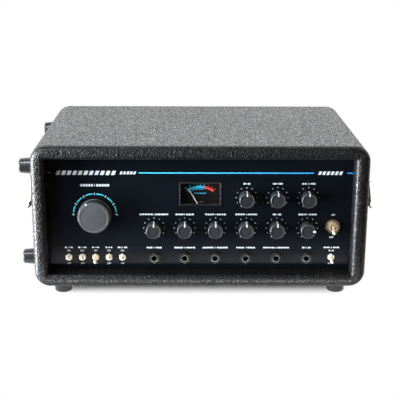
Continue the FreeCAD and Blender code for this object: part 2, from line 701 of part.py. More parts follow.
def hinge_half(name, side, upper):
    """A leaf on the rear board with its knuckles on the pin's line: one in the lid, two in the base."""
    middle = "%d*hinge_x" % side
    leaf_low = "seam_height + leaf_gap" if upper else "seam_height - hinge_leaf"
    shapes = [box(name + "_leaf", middle + " - hinge_width/2", "case_depth/2", leaf_low,
                  "hinge_width", "hinge_thick", "hinge_leaf - leaf_gap")]
    end_length = "((hinge_width - hinge_knuckle)/2 - knuckle_gap)"
    if upper:
        spans = [("-hinge_knuckle/2", "hinge_knuckle")]
    else:
        spans = [("-hinge_width/2", end_length), ("hinge_width/2 - " + end_length, end_length)]
    web_low = "seam_height" if upper else "seam_height - leaf_gap - 0.5"
    for i, (start, length) in enumerate(spans):
        x = middle + " + " + start
        shapes.append(cylinder("%s_knuckle%d" % (name, i), x, HINGE_Y, "seam_height",
                               "hinge_barrel", length, "+X"))
        shapes.append(box("%s_web%d" % (name, i), x, "case_depth/2", web_low,
                          length, "hinge_thick", "leaf_gap + 0.5"))
    bore = "hinge_pin + shaft_clearance" if upper else "hinge_pin + pin_seat"
    eye = cylinder(name + "_eye", middle + " - hinge_width", HINGE_Y, "seam_height",
                   bore, "2*hinge_width", "+X")
    return cut(name, fuse(name + "_body", shapes), [eye] + ([] if upper else screw_holes(name)))


def hinges():
    lower = []
    upper = []
    for i, side in enumerate((-1, 1)):
        lower.append(hinge_half("hinge_lower%d" % i, side, False))
        lower.append(cylinder("hinge_pin%d" % i, "%d*hinge_x - hinge_width/2" % side, HINGE_Y,
                              "seam_height", "hinge_pin", "hinge_width", "+X"))
        upper.append(hinge_half("hinge_upper%d" % i, side, True))
    node(group("hinge_leaves_base", lower))
    node(group("hinge_leaves_lid", upper))


# ---------------------------------------------------------------- draw latches

LOOP_PIN_OUT = "(latch_pin_out + loop_arm*sin(loop_angle))"
LOOP_PIN_Z = "(latch_pin_z - loop_arm*cos(loop_angle))"
BAR_OUT = "(latch_pin_out + loop_arm*sin(loop_angle) - loop_lean)"
BAR_Z = "(latch_pin_z - loop_arm*cos(loop_angle) + loop_rise)"


def beside(side, out):
    """X of a place that stands out from the case's side."""
    return "%d*(case_width/2 + %s)" % (side, out)


def side_box(name, side, near, far, y, wide, z, high):
    """A box between two distances from the case's side."""
    x = beside(side, near if side > 0 else far)
    return box(name, x, y, z, "(%s) - (%s)" % (far, near), wide, high)


def latch_plate(name, side):
    shapes = [side_box(name + "_plate", side, "0", "latch_plate_thick", LATCH_Y + " - latch_plate_wide/2",
                       "latch_plate_wide", "latch_plate_low", "latch_plate_high - latch_plate_low")]
    for i, y in enumerate(("-latch_ear_out", "latch_ear_out - latch_ear")):
        start = LATCH_Y + " + " + y
        shapes.append(side_box("%s_ear%d" % (name, i), side, "0", "latch_pin_out", start, "latch_ear",
                               "latch_pin_z - 2", "4"))
        shapes.append(cylinder("%s_eye%d" % (name, i), beside(side, "latch_pin_out"), start,
                               "latch_pin_z", "2", "latch_ear", "+Y"))
    shapes.append(cylinder(name + "_pin", beside(side, "latch_pin_out"), LATCH_Y + " - lever_half",
                           "latch_pin_z", "latch_pin", "2*lever_half", "+Y"))
    return cut(name, fuse(name + "_body", shapes), screw_holes(name))


def latch_lever(name, side):
    """A channel that covers its pin, with a flared lower tip for the finger."""
    body = new_body(name)
    cover = "lever_face - lever_web"
    corners = [("lever_face", "latch_pin_z - 1.5"), ("latch_pin_out + 1.2", "latch_pin_z + 1.4"),
               ("latch_pin_out - 1.2", "latch_pin_z + 1.5"), ("latch_pin_out - 1.8", "latch_pin_z"),
               ("latch_pin_out - 1.8", "latch_plate_low + 5.5"), (cover, "latch_plate_low + 0.9"),
               ("lever_face + 0.8", "latch_plate_low - 0.9"), ("lever_face + 2", "latch_plate_low - 0.9"),
               ("lever_face + 1.8", "latch_plate_low + 0.3"), ("lever_face", "latch_plate_low + 2.1")]
    profile = outline(sketch(body, "XZ_Plane"), [(beside(side, out), z) for out, z in corners])
    pad(body, profile, "2*lever_half", both_ways=True)
    channel = sketch(body, "XZ_Plane")
    hollow = [("0", "latch_pin_z + 4"), (cover, "latch_pin_z + 4"),
              (cover, "latch_plate_low + 1.5"), ("0", "latch_plate_low + 1.5")]
    outline(channel, [(beside(side, out), z) for out, z in hollow])
    pocket(body, channel, "2*(lever_half - lever_web)", both_ways=True)
    eyes = sketch(body, "XZ_Plane")
    circle(eyes, beside(side, "latch_pin_out"), "latch_pin_z", "latch_pin + latch_clearance/2")
    circle(eyes, beside(side, LOOP_PIN_OUT), LOOP_PIN_Z, "loop_pin + latch_clearance/2")
    pocket(body, eyes, "4*lever_half", both_ways=True)
    return node(place(body, "0", LATCH_Y, "0"))


def latch_loop(name, side):
    """A bent wire: two pins in the lever, two arms and the bar behind the keeper's tongue."""
    middle = num(LATCH_Y)
    half = num("loop_half")
    wire = num("loop_wire")
    low = [FreeCAD.Vector(num(beside(side, LOOP_PIN_OUT)), middle + s * half, num(LOOP_PIN_Z)) for s in (-1, 1)]
    high = [FreeCAD.Vector(num(beside(side, BAR_OUT)), middle + s * half, num(BAR_Z)) for s in (-1, 1)]
    across = FreeCAD.Vector(0, 1, 0)
    shape = Part.makeCylinder(wire, 2 * half, high[0], across)
    for i, s in enumerate((-1, 1)):
        arm = high[i] - low[i]
        pin_long = num("loop_half - lever_half + lever_web")
        pin = Part.makeCylinder(num("loop_pin"), pin_long, low[i], across * -s)
        shape = shape.fuse([Part.makeCylinder(wire, arm.Length, low[i], arm), pin,
                            Part.makeSphere(wire, low[i]), Part.makeSphere(wire, high[i])])
    return node(feature(name, shape.removeSplitter()))


def latch_keeper(name, side):
    """A plate on the lid with a tongue that slopes up and out under the loop's bar."""
    body = new_body(name)
    plate = sketch(body, "XZ_Plane")
    rectangle(plate, beside(side, "0"), "keeper_low", beside(side, "keeper_thick"), "keeper_high")
    pad(body, plate, "2*keeper_half + 8", both_ways=True)
    reach = "(loop_wire + latch_clearance)"
    out = "(%s + %s*sin(keeper_slope))" % (BAR_OUT, reach)
    rise = "(%s - %s*cos(keeper_slope))" % (BAR_Z, reach)

    def tongue_top(spot):
        return "(%s + (%s - %s)*tan(keeper_slope))" % (rise, spot, out)

    drop = " - keeper_thick/cos(keeper_slope)"
    corners = [("0", tongue_top("0") + drop), ("keeper_reach", tongue_top("keeper_reach") + drop),
               ("keeper_reach", tongue_top("keeper_reach")), ("0", tongue_top("0"))]
    tongue = outline(sketch(body, "XZ_Plane"), [(beside(side, a), b) for a, b in corners])
    pad(body, tongue, "2*keeper_half", both_ways=True)
    return place(body, "0", LATCH_Y, "0")


def latches():
    sides = (("left", -1), ("right", 1))
    node(group("latch_plates", [latch_plate("latch_plate_" + word, side) for word, side in sides]))
    for word, side in sides:
        latch_lever("latch_lever_" + word, side)
        latch_loop("latch_loop_" + word, side)
    node(group("latch_keepers", [latch_keeper("latch_keeper_" + word, side) for word, side in sides]))


# ---------------------------------------------------------------- carry strap

def carry_strap():
    """A band with flat ends and a long arch that leaves room for the hand."""
    wall = num("case_width/2")
    middle = num("strap_y")
    end = num("strap_span/2")
    flat = num("strap_span/2 - cap_length + cap_end/2")
    near = wall + num("strap_seat")
    far = near + num("strap_thick")
    crest = wall + num("strap_rise")
    thick = num("strap_thick")

    def at(x, y):
        return FreeCAD.Vector(x, middle + y, num("strap_z - strap_width/2"))

    edges = [
        Part.makeLine(at(near, -end), at(near, -flat)),
        Part.Arc(at(near, -flat), at(crest, 0), at(near, flat)).toShape(),
        Part.makeLine(at(near, flat), at(near, end)),
        Part.makeLine(at(near, end), at(far, end)),
        Part.makeLine(at(far, end), at(far, flat)),
        Part.Arc(at(far, flat), at(crest + thick, 0), at(far, -flat)).toShape(),
        Part.makeLine(at(far, -flat), at(far, -end)),
        Part.makeLine(at(far, -end), at(near, -end)),
    ]
    face = Part.Face(Part.Wire(edges))
    return node(feature("carry_strap", face.extrude(FreeCAD.Vector(0, 0, num("strap_width")))))


def strap_cap(name, end):
    outer = "strap_y + %d*(strap_span/2 + cap_end)" % end
    start = outer + (" - cap_length" if end > 0 else "")
    block = box(name + "_block", "case_width/2", start, "strap_z - cap_width/2",
                "cap_height", "cap_length", "cap_width")
    face = num("case_width/2 + cap_height")
    soft = rounded(name + "_soft", block, "cap_height/3", lambda b: abs(b.XMax - face) < 0.1 and b.XLength < 0.1)
    depth = "cap_length - cap_end + strap_gap"
    slot_start = "strap_y + " + ("strap_span/2 + cap_end - cap_length - 1" if end > 0
                                 else "-strap_span/2 - strap_gap")
    slot = box(name + "_slot", "case_width/2 + strap_seat - strap_gap", slot_start,
               "strap_z - strap_width/2 - strap_gap", "strap_thick + 2*strap_gap", depth + " + 1",
               "strap_width + 2*strap_gap")
    return cut(name, soft, [slot] + screw_holes(name))


def strap_end_caps():
    return node(group("strap_end_caps", [strap_cap("cap_front", -1), strap_cap("cap_rear", 1)]))


# ---------------------------------------------------------------- front panel

def front_panel():
    body = new_body("front_panel")
    edge = SIDE_IN + " - panel_gap"
    level = "case_depth/2 - panel_recess"
    plate = rectangle(sketch(body, "XZ_Plane", level), "-(%s)" % edge, FLOOR_IN + " + panel_gap", edge,
                      CEILING + " - panel_gap")
    pad(body, plate, "panel_thick", backwards=True)
    holes = sketch(body, "XZ_Plane", level)
    for label, column, row, rest in KNOBS:
        circle(holes, COLUMNS[column], row, "pot_bushing + bushing_clearance")
    for x in COLUMNS:
        circle(holes, x, "jack_row", "jack_bushing + bushing_clearance")
    for x in TOGGLES + ["level_x"]:
        circle(holes, x, "toggle_row", "toggle_bushing + bushing_clearance")
    circle(holes, "power_x", "power_z", "power_bushing + bushing_clearance")
    circle(holes, "mode_x", "mode_z", "mode_bushing + bushing_clearance")
    pocket(body, holes)
    opening = sketch(body, "XZ_Plane", level)
    rectangle(opening, "-meter_width/2 - meter_gap", "meter_low - meter_gap",
              "meter_width/2 + meter_gap", "meter_low + meter_height + meter_gap")
    pocket(body, opening)
    return node(body)


def nut(name, x, z, radius, thick, bore, sides=6):
    """A nut on the face of the panel."""
    if sides == 6:
        blank = hexagon(name + "_blank", x, PANEL, z, radius, thick, "-Y", 30)
    else:
        blank = cylinder(name + "_blank", x, PANEL, z, radius, thick, "-Y")
    hole = cylinder(name + "_hole", x, PANEL_BACK, z, bore + " + pin_seat", thick + " + 2*panel_thick", "-Y")
    return cut(name, blank, hole)


# ---------------------------------------------------------------- knobs and their controls

def small_knob(label, column, row, rest):
    points = [("0", "-panel_thick - pot_depth + 1.5"), ("shaft_radius", "-panel_thick - pot_depth + 1.5"),
              ("shaft_radius", "knob_hollow_deep"), ("knob_hollow", "knob_hollow_deep"),
              ("knob_hollow", "knob_gap"), ("knob_radius", "knob_gap"),
              ("knob_radius", "knob_height - 6"), ("knob_radius - 0.4", "knob_height - 0.9"),
              ("knob_radius - 1.2", "knob_height"), ("0", "knob_height")]
    body = turned(label, points, COLUMNS[column], PANEL, row, "-Y", -rest)
    groove = sketch(body, "XY_Plane", "knob_height")
    rectangle(groove, "-pointer_wide/2", "knob_radius/2", "pointer_wide/2", "knob_radius + 1")
    pocket(body, groove, "pointer_deep")
    return node(body)


def control(name, x, z):
    """A potentiometer with its nut: threaded bushing through the panel, can behind it."""
    bore = "shaft_radius + shaft_clearance"
    back = "-panel_thick - pot_depth"
    points = [(bore, "pot_nose"), ("pot_bushing", "pot_nose"), ("pot_bushing", "-panel_thick"),
              ("pot_radius", "-panel_thick"), ("pot_radius", back), ("0", back),
              ("0", back + " + 1.2"), (bore, back + " + 1.2")]
    return [turned(name, points, x, PANEL, z, "-Y"),
            nut(name + "_nut", x, z, "pot_nut", "pot_nut_thick", "pot_bushing")]


def mode_switch():
    bore = "shaft_radius + shaft_clearance"
    back = "-panel_thick - mode_depth"
    points = [(bore, "mode_gap - 0.3"), ("mode_bushing", "mode_gap - 0.3"), ("mode_bushing", "-panel_thick"),
              ("mode_can", "-panel_thick"), ("mode_can", back), ("0", back),
              ("0", back + " + 2.5"), (bore, back + " + 2.5")]
    return [turned("mode_switch_body", points, "mode_x", PANEL, "mode_z", "-Y"),
            nut("mode_switch_nut", "mode_x", "mode_z", "mode_nut", "mode_gap - 0.6", "mode_bushing")]


def mode_knob():
    back = "-panel_thick - mode_depth + 3"
    waist = "mode_radius - 0.8"
    points = [("0", back), ("shaft_radius", back), ("shaft_radius", "mode_gap"), ("mode_radius", "mode_gap"),
              ("mode_radius", "mode_gap + 1.6"), (waist, "mode_gap + 2.4"), (waist, "mode_height - 2.6"),
              ("mode_face", "mode_height"), ("0", "mode_height")]
    body = turned("mode_knob", points, "mode_x", PANEL, "mode_z", "-Y", 30)
    groove = sketch(body, "XY_Plane", "mode_height")
    rectangle(groove, "-pointer_wide/2", "mode_face - 3", "pointer_wide/2", "mode_radius")
    pocket(body, groove, "pointer_deep")
    return node(body)


def controls():
    for label, column, row, rest in KNOBS:
        small_knob(label, column, row, rest)
    mode_knob()
    made = mode_switch()
    for i, (label, column, row, rest) in enumerate(KNOBS):
        made += control("control%d" % i, COLUMNS[column], row)
    node(group("rotary_controls", made))


# ---------------------------------------------------------------- jacks

def jack(name, x):
    body = box(name + "_block", x + " - jack_body/2", PANEL_BACK, "jack_row - jack_body/2",
               "jack_body", "jack_depth", "jack_body")
    bushing = cylinder(name + "_bushing", x, PANEL_BACK, "jack_row", "jack_bushing",
                       "panel_thick + jack_nose", "-Y")
    bore = cylinder(name + "_bore", x, PANEL_BACK + " + jack_depth - 2", "jack_row", "jack_bore",
                    "jack_depth + panel_thick + jack_nose", "-Y")
    return cut(name, fuse(name + "_body", [body, bushing]), bore)


def jacks():
    node(group("jack_sockets", [jack("jack%d" % i, x) for i, x in enumerate(COLUMNS)]))
    node(group("jack_nuts", [nut("jack_nut%d" % i, x, "jack_row", "jack_nut", "jack_nut_thick", "jack_bushing")
                             for i, x in enumerate(COLUMNS)]))


# ---------------------------------------------------------------- toggles

def toggle(name, kind, x, z):
    """A toggle switch without its lever; kind names the set of sizes."""
    wide, high, deep = (kind + "_body_" + word for word in ("wide", "high", "deep"))
    body = box(name + "_block", "%s - %s/2" % (x, wide), PANEL_BACK, "%s - %s/2" % (z, high), wide, deep, high)
    bushing = cylinder(name + "_bushing", x, PANEL_BACK, z, kind + "_bushing",
                       "panel_thick + %s_nose" % kind, "-Y")
    reach = "(%s_nose - %s_pivot + %s_ball + 0.5)" % (kind, kind, kind)
    bore = cylinder(name + "_bore", x, PANEL + " - %s_nose + %s" % (kind, reach), z, kind + "_bore",
                    reach + " + 1", "-Y")
    return cut(name, fuse(name + "_body", [body, bushing]), bore)


def lever(label, kind, x, z, up):
    """A bat lever on a ball, tilted up or down."""
    ball, neck, tip, length = (kind + "_" + word for word in ("ball", "neck", "tip", "length"))
    points = [("0", "-" + ball), (ball + "*0.7", "-%s*0.7" % ball), (ball, "0"), (ball + "*0.7", ball + "*0.7"),
              (neck, ball + "*0.95"), (neck + "*0.9 + 0.1*" + tip, length + "*0.4"),
              (tip, "%s - %s*1.2" % (length, tip)), (tip + "*0.75", "%s - %s*0.3" % (length, tip)), ("0", length)]
    body = turned(label, points, x, PANEL + " - %s_pivot" % kind, z, "-Y")
    tilt = num(kind + "_tilt")
    body.Placement.Rotation = FreeCAD.Rotation(FreeCAD.Vector(1, 0, 0), 90 - tilt if up else 90 + tilt)
    return node(body)


# label, X, up at rest
SMALL_LEVERS = [
    ("input_switch_lever", TOGGLES[0], True),
    ("chorus_switch_lever", TOGGLES[1], True),
    ("echo_switch_lever", TOGGLES[2], False),
    ("reverb_switch_lever", TOGGLES[3], True),
    ("tape_switch_lever", TOGGLES[4], True),
    ("output_level_lever", "level_x", False),
]


def toggles():
    switches = []
    nuts = []
    for i, (label, x, up) in enumerate(SMALL_LEVERS):
        lever(label, "toggle", x, "toggle_row", up)
        switches.append(toggle("toggle%d" % i, "toggle", x, "toggle_row"))
        nuts.append(nut("toggle_nut%d" % i, x, "toggle_row", "toggle_nut", "toggle_nut_thick", "toggle_bushing"))
    lever("power_lever", "power", "power_x", "power_z", False)
    switches.append(toggle("power_toggle", "power", "power_x", "power_z"))
    nuts.append(nut("power_nut_ring", "power_x", "power_z", "power_nut", "power_nut_thick", "power_bushing", 0))
    node(group("toggle_switches", switches))
    node(group("toggle_nuts", nuts))


# ---------------------------------------------------------------- meter

METER_FRONT = "(-case_depth/2 + panel_recess - meter_proud)"
NEEDLE_Z = "(meter_low - needle_drop)"


def meter_case():
    face = box("meter_face", "-meter_width/2", METER_FRONT, "meter_low", "meter_width",
               "meter_proud + panel_thick + meter_depth", "meter_height")
    drop = box("meter_back", "-meter_width/2", PANEL_BACK, "meter_low - meter_drop", "meter_width",
               "meter_depth", "meter_drop + meter_height")
    window = box("meter_opening", "-meter_width/2 + meter_rim", METER_FRONT + " - 1", "meter_low + meter_rim",
                 "meter_width - 2*meter_rim", "dial_deep + 1", "meter_height - 2*meter_rim")
    well = box("needle_well", "-meter_width/6", PANEL_BACK + " + 0.8", NEEDLE_Z + " - 7.5", "meter_width/3",
               "dial_deep - meter_proud - panel_thick - 0.8", "needle_drop + 7.5 + 2*meter_rim")
    pin = cylinder("needle_eye", "0", METER_FRONT + " + dial_deep + 4", NEEDLE_Z,
                   "needle_pin + shaft_clearance", "6", "-Y")
    return node(cut("meter_case", fuse("meter_block", [face, drop]), [window, well, pin]))


def meter_window():
    return node(box("meter_window", "-meter_width/2 + meter_rim + 0.1", METER_FRONT + " + 0.3",
                    "meter_low + meter_rim + 0.1", "meter_width - 2*meter_rim - 0.2", "glass_thick",
                    "meter_height - 2*meter_rim - 0.2"))


def meter_needle():
    """Hub, pointer with a short tail, and the pin behind the hub."""
    body = new_body("meter_needle")
    hub = circle(sketch(body, "XY_Plane"), "0", "0", "needle_hub")
    pad(body, hub, "1.4")
    blade = outline(sketch(body, "XY_Plane", "0.5"),
                    [("-0.9", "-6"), ("0.9", "-6"), ("0.25", "needle_length"), ("-0.25", "needle_length")])
    pad(body, blade, "0.5")
    pin = circle(sketch(body, "XY_Plane"), "0", "0", "needle_pin")
    pad(body, pin, "3.5", backwards=True)
    place(body, "0", METER_FRONT + " + dial_deep - 0.3", NEEDLE_Z, "-Y", num("needle_rest"))
    return node(body)


# ---------------------------------------------------------------- chassis

def chassis_tray():
    wide = "2*" + CHASSIS_SIDE
    deep = CHASSIS_REAR + " - " + PANEL_BACK
    shapes = [box("tray_floor", "-" + CHASSIS_SIDE, PANEL_BACK, FLOOR_IN, wide, deep, "sheet_thick"),
              box("tray_flange", "-" + CHASSIS_SIDE, PANEL_BACK, FLOOR_IN, wide, "sheet_thick", "flange_high")]
    for i, x in enumerate(("-" + CHASSIS_SIDE, CHASSIS_SIDE + " - sheet_thick")):
        shapes.append(box("tray_wall%d" % i, x, PANEL_BACK, FLOOR_IN, "sheet_thick", deep,
                          DECK_UNDER + " - " + FLOOR_IN))
    for i, (a, b) in enumerate(((-1, -1), (1, -1), (-1, 1), (1, 1))):
        shapes.append(cylinder("standoff%d" % i, "board_x + %d*(board_width/2 - standoff_inset)" % a,
                               "board_y + %d*(board_depth/2 - standoff_inset)" % b, FLOOR_IN,
                               "standoff_radius", "sheet_thick + standoff_high"))
    return node(fuse("chassis_tray", shapes))


def rear_panel():
    """The sheet behind the opening of the rear board, with the inlet's hole and a row of vents."""
    plate = box("rear_sheet", "-" + CHASSIS_SIDE, CHASSIS_REAR, FLOOR_IN, "2*" + CHASSIS_SIDE, "rear_panel_thick",
                "window_sill + window_height + rear_panel_margin - bottom_board")
    holes = [box("inlet_hole", "inlet_x - inlet_width/2 - 0.1", CHASSIS_REAR + " - 1",
                 "inlet_z - inlet_height/2 - 0.1", "inlet_width + 0.2", "rear_panel_thick + 2", "inlet_height + 0.2")]
    for i in range(12):
        holes.append(box("vent%d" % i, "-window_width/2 + 24 + %d*11" % i, CHASSIS_REAR + " - 1", "inlet_z - 14",
                         "4", "rear_panel_thick + 2", "28"))
    return node(cut("rear_panel", plate, holes))


def power_inlet():
    body = box("inlet_body", "inlet_x - inlet_width/2", REAR_IN + " + inlet_flange_thick - inlet_depth",
               "inlet_z - inlet_height/2", "inlet_width", "inlet_depth", "inlet_height")
    flange = box("inlet_rim", "inlet_x - inlet_flange/2", REAR_IN, "inlet_z - inlet_flange_high/2",
                 "inlet_flange", "inlet_flange_thick", "inlet_flange_high")
    cavity = box("inlet_cavity", "inlet_x - inlet_cavity_wide/2",
                 REAR_IN + " + inlet_flange_thick - inlet_cavity_deep", "inlet_z - inlet_cavity_high/2",
                 "inlet_cavity_wide", "inlet_cavity_deep + 1", "inlet_cavity_high")
    return node(cut("power_inlet", fuse("inlet_solid", [body, flange]), cavity))


def circuit_board():
    level = FLOOR_IN + " + sheet_thick + standoff_high"
    shapes = [box("board_sheet", "board_x - board_width/2", "board_y - board_depth/2", level,
                  "board_width", "board_depth", "board_thick")]
    for i in range(5):
        shapes.append(cylinder("capacitor%d" % i, "board_x - board_width/3 + %d*22" % i,
                               "board_y + board_depth/4", level + " + board_thick", "6", "18"))
    for i in range(4):
        shapes.append(box("chip%d" % i, "board_x - board_width/3 + %d*30" % i, "board_y - board_depth/4",
                          level + " + board_thick", "19", "7", "4"))
    return node(group("circuit_board", shapes))


def power_transformer():
    base = FLOOR_IN + " + sheet_thick"
    core_low = base + " + foot_plate"
    plate = box("core_plate", "core_x - core_width/2 - core_foot", "core_y - core_stack/2", base,
                "core_width + 2*core_foot", "core_stack", "foot_plate")
    core = box("core_block", "core_x - core_width/2", "core_y - core_stack/2", core_low,
               "core_width", "core_stack", "core_height")
    same_core = box("core_space", "core_x - core_width/2", "core_y - core_stack/2", core_low,
                    "core_width", "core_stack", "core_height")
    coil = box("coil_block", "core_x - coil_width/2", "core_y - coil_depth/2",
               core_low + " + core_height/2 - coil_height/2", "coil_width", "coil_depth", "coil_height")
    return node(group("power_transformer", [plate, core, cut("coil", coil, same_core)]))


def reverb_tank():
    base = FLOOR_IN + " + sheet_thick"
    pan = box("tank_pan", "tank_x - tank_length/2", "tank_y - tank_depth/2", base,
              "tank_length", "tank_depth", "tank_height")
    flange = box("tank_rim", "tank_x - tank_length/2 - tank_flange", "tank_y - tank_depth/2", base,
                 "tank_length + 2*tank_flange", "tank_depth", "sheet_thick")
    inside = box("tank_inside", "tank_x - tank_length/2 + sheet_thick", "tank_y - tank_depth/2 + sheet_thick",
                 base, "tank_length - 2*sheet_thick", "tank_depth - 2*sheet_thick", "tank_height - sheet_thick")
    return node(cut("reverb_tank", fuse("tank_solid", [pan, flange]), inside))


# ---------------------------------------------------------------- tape deck

PIVOT_X = "(capstan_x + arm_length)"


def deck_plate():
    """The plate over the chassis, with the capstan's bearing below and the pinch arm's stud above."""
    plate = box("deck_sheet", "-" + CHASSIS_SIDE, "-deck_front", DECK_UNDER, "2*" + CHASSIS_SIDE,
                "deck_front + " + REAR_IN + " - panel_gap", "deck_thick")
    bearing = cylinder("bearing", "capstan_x", CAPSTAN_Y, DECK_UNDER + " - bearing_long", "bearing_radius",
                       "bearing_long + deck_thick")
    stud = cylinder("arm_stud", PIVOT_X, ROLLER_Y, DECK_UNDER, "pivot_pin",
                    "deck_thick + arm_gap + arm_thick + 1.5")
    bore = cylinder("bearing_bore", "capstan_x", CAPSTAN_Y, DECK_UNDER + " - bearing_long - 1",
                    "capstan_radius + shaft_clearance", "bearing_long + deck_thick + 2")
    return node(cut("deck_plate", fuse("deck_body", [plate, bearing, stud]), bore))


def tape_bin():
    """An open tray with a mouth at each end of its front wall for the tape."""
    deep = "bin_rear - bin_front"
    block = box("bin_block", "-bin_half", "bin_front", "deck_top", "2*bin_half", deep, "bin_high")
    inside = box("bin_inside", "-bin_half + bin_wall", "bin_front + bin_wall", "deck_top + bin_floor",
                 "2*(bin_half - bin_wall)", deep + " - 2*bin_wall", "bin_high")
    mouths = [box("bin_mouth%d" % i, "%d*tape_side - bin_mouth/2" % side, "bin_front - 1",
                  "deck_top + bin_floor", "bin_mouth", "bin_wall + 2", "bin_high")
              for i, side in enumerate((-1, 1))]
    return node(cut("tape_bin", block, [inside] + mouths))


def bin_cover():
    return node(box("bin_cover", "-bin_half", "bin_front", "deck_top + bin_high", "2*bin_half",
                    "bin_rear - bin_front", "cover_thick"))


def tape_head(name, x):
    front = "-tape_front + tape_gap"
    block = box(name + "_block", x + " - head_width/2", front, "deck_top + head_foot", "head_width",
                "head_depth", "head_high - head_foot")
    nose = num(front)
    can = rounded(name + "_can", block, "head_width/3", lambda b: abs(b.YMax - nose) < 0.1 and b.ZLength > 1)
    foot = box(name + "_foot", x + " - head_width/2 - 3", front + " + head_depth/2", "deck_top",
               "head_width + 6", "head_depth", "head_foot")
    return fuse(name, [can, foot])


def tape_heads():
    return node(group("tape_heads", [tape_head("head%d" % i, "(first_head + %d*head_pitch)" % i)
                                     for i in range(5)]))


def tape_guides():
    under = "tape_low - tape_gap"
    over = "tape_low + tape_width + tape_gap"
    points = [("0", "0"), ("guide_flange", "0"), ("guide_flange", under), ("guide_radius", under),
              ("guide_radius", over), ("guide_flange", over), ("guide_flange", "guide_high"), ("0", "guide_high")]
    corner = "(tape_side - tape_gap - guide_radius)"
    spots = ["-" + corner, "first_head - 0.7*head_pitch", "capstan_x - 0.8*head_pitch", corner]
    return node(group("tape_guides", [turned("guide%d" % i, points, x, "-tape_front + tape_gap + guide_radius",
                                             "deck_top") for i, x in enumerate(spots)]))


def capstan():
    low = "flywheel_low - 2"
    node(cylinder("capstan_shaft", "capstan_x", CAPSTAN_Y, low, "capstan_radius",
                  "deck_top + capstan_high - (%s)" % low))
    bore = "capstan_radius + pin_seat"
    points = [(bore, "0"), ("flywheel_radius", "0"), ("flywheel_radius", "flywheel_thick"),
              ("3*capstan_radius", "flywheel_thick"), ("3*capstan_radius", "flywheel_thick + 6"),
              (bore, "flywheel_thick + 6")]
    node(turned("flywheel", points, "capstan_x", CAPSTAN_Y, "flywheel_low"))


def capstan_motor():
    low = DECK_UNDER + " - motor_high"
    can = cylinder("motor_can", "motor_x", "motor_y", low, "motor_radius", "motor_high")
    bore = cylinder("motor_bore", "motor_x", "motor_y", low + " - 1", "motor_shaft + shaft_clearance", "11")
    node(cut("capstan_motor", can, bore))
    rim = "pulley_radius + belt_thick"
    thick = "flywheel_thick"
    shaft_top = low + " + 9 - flywheel_low"
    points = [("0", "-2"), ("motor_shaft", "-2"), ("motor_shaft", "0"), (rim, "0"), (rim, "1"),
              ("pulley_radius", "1"), ("pulley_radius", thick + " - 1"), (rim, thick + " - 1"), (rim, thick),
              ("motor_shaft", thick), ("motor_shaft", shaft_top), ("0", shaft_top)]
    node(turned("motor_pulley", points, "motor_x", "motor_y", "flywheel_low"))


def ring_path(circles):
    """The closed line that runs tight around two circles, given as (centre, radius)."""
    (first, big), (second, small) = circles
    line = second - first
    toward = math.atan2(line.y, line.x)
    lean = math.acos((big - small) / line.Length)

    def at(centre, radius, angle):
        return centre + FreeCAD.Vector(radius * math.cos(angle), radius * math.sin(angle), 0)

    edges = [Part.makeLine(at(first, big, toward - lean), at(second, small, toward - lean)),
             Part.Arc(at(second, small, toward - lean), at(second, small, toward),
                      at(second, small, toward + lean)).toShape(),
             Part.makeLine(at(second, small, toward + lean), at(first, big, toward + lean)),
             Part.Arc(at(first, big, toward + lean), at(first, big, toward + math.pi),
                      at(first, big, toward - lean)).toShape()]
    return Part.Wire(edges)


def drive_belt():
    level = num("flywheel_low + flywheel_thick/2 - belt_wide/2")
    wheel = FreeCAD.Vector(num("capstan_x"), num(CAPSTAN_Y), level)
    pulley = FreeCAD.Vector(num("motor_x"), num("motor_y"), level)
    gap = num("belt_gap")
    path = ring_path([(wheel, num("flywheel_radius") + gap), (pulley, num("pulley_radius") + gap)])
    face = path.makeOffset2D(num("belt_thick"), fill=True)
    return node(feature("drive_belt", face.extrude(FreeCAD.Vector(0, 0, num("belt_wide")))))


def rounded_path(corners, radii):
    """A closed line through the corners, each turned on an arc of its own radius."""
    starts = []
    arcs = []
    count = len(corners)
    for i, (corner, radius) in enumerate(zip(corners, radii)):
        before = (corners[i - 1] - corner).normalize()
        after = (corners[(i + 1) % count] - corner).normalize()
        half = before.getAngle(after) / 2
        reach = radius / math.tan(half)
        middle = (before + after).normalize()
        centre = corner + middle * (radius / math.sin(half))
        starts.append((corner + before * reach, corner + after * reach))
        arcs.append(Part.Arc(corner + before * reach, centre - middle * radius, corner + after * reach).toShape())
    edges = []
    for i in range(count):
        edges.append(arcs[i])
        edges.append(Part.makeLine(starts[i][1], starts[(i + 1) % count][0]))
    return Part.Wire(edges)


def tape_loop():
    """The band of tape: past the heads, round the guides and in long waves through the bin."""
    side = num("tape_side")
    front = -num("tape_front")
    near = num("bin_front + bin_wall + 1.73*tape_bend")
    far = num("bin_rear - bin_wall - tape_bend/2")
    level = num(TAPE_LOW)
    turn = (near + far) / 2
    outer = 0.72 * side
    inner = 0.41 * side
    spots = [(-side, front), (side, front), (side, turn), (outer, far), (inner, near), (0, far),
             (-inner, near), (-outer, far), (-side, turn)]
    tight = num("guide_radius + tape_gap")
    bend = num("tape_bend")
    radii = [tight, tight] + [bend] * (len(spots) - 2)
    path = rounded_path([FreeCAD.Vector(x, y, level) for x, y in spots], radii)
    face = path.makeOffset2D(num("tape_thick"), fill=True)
    return node(feature("tape_loop", face.extrude(FreeCAD.Vector(0, 0, num("tape_width")))))


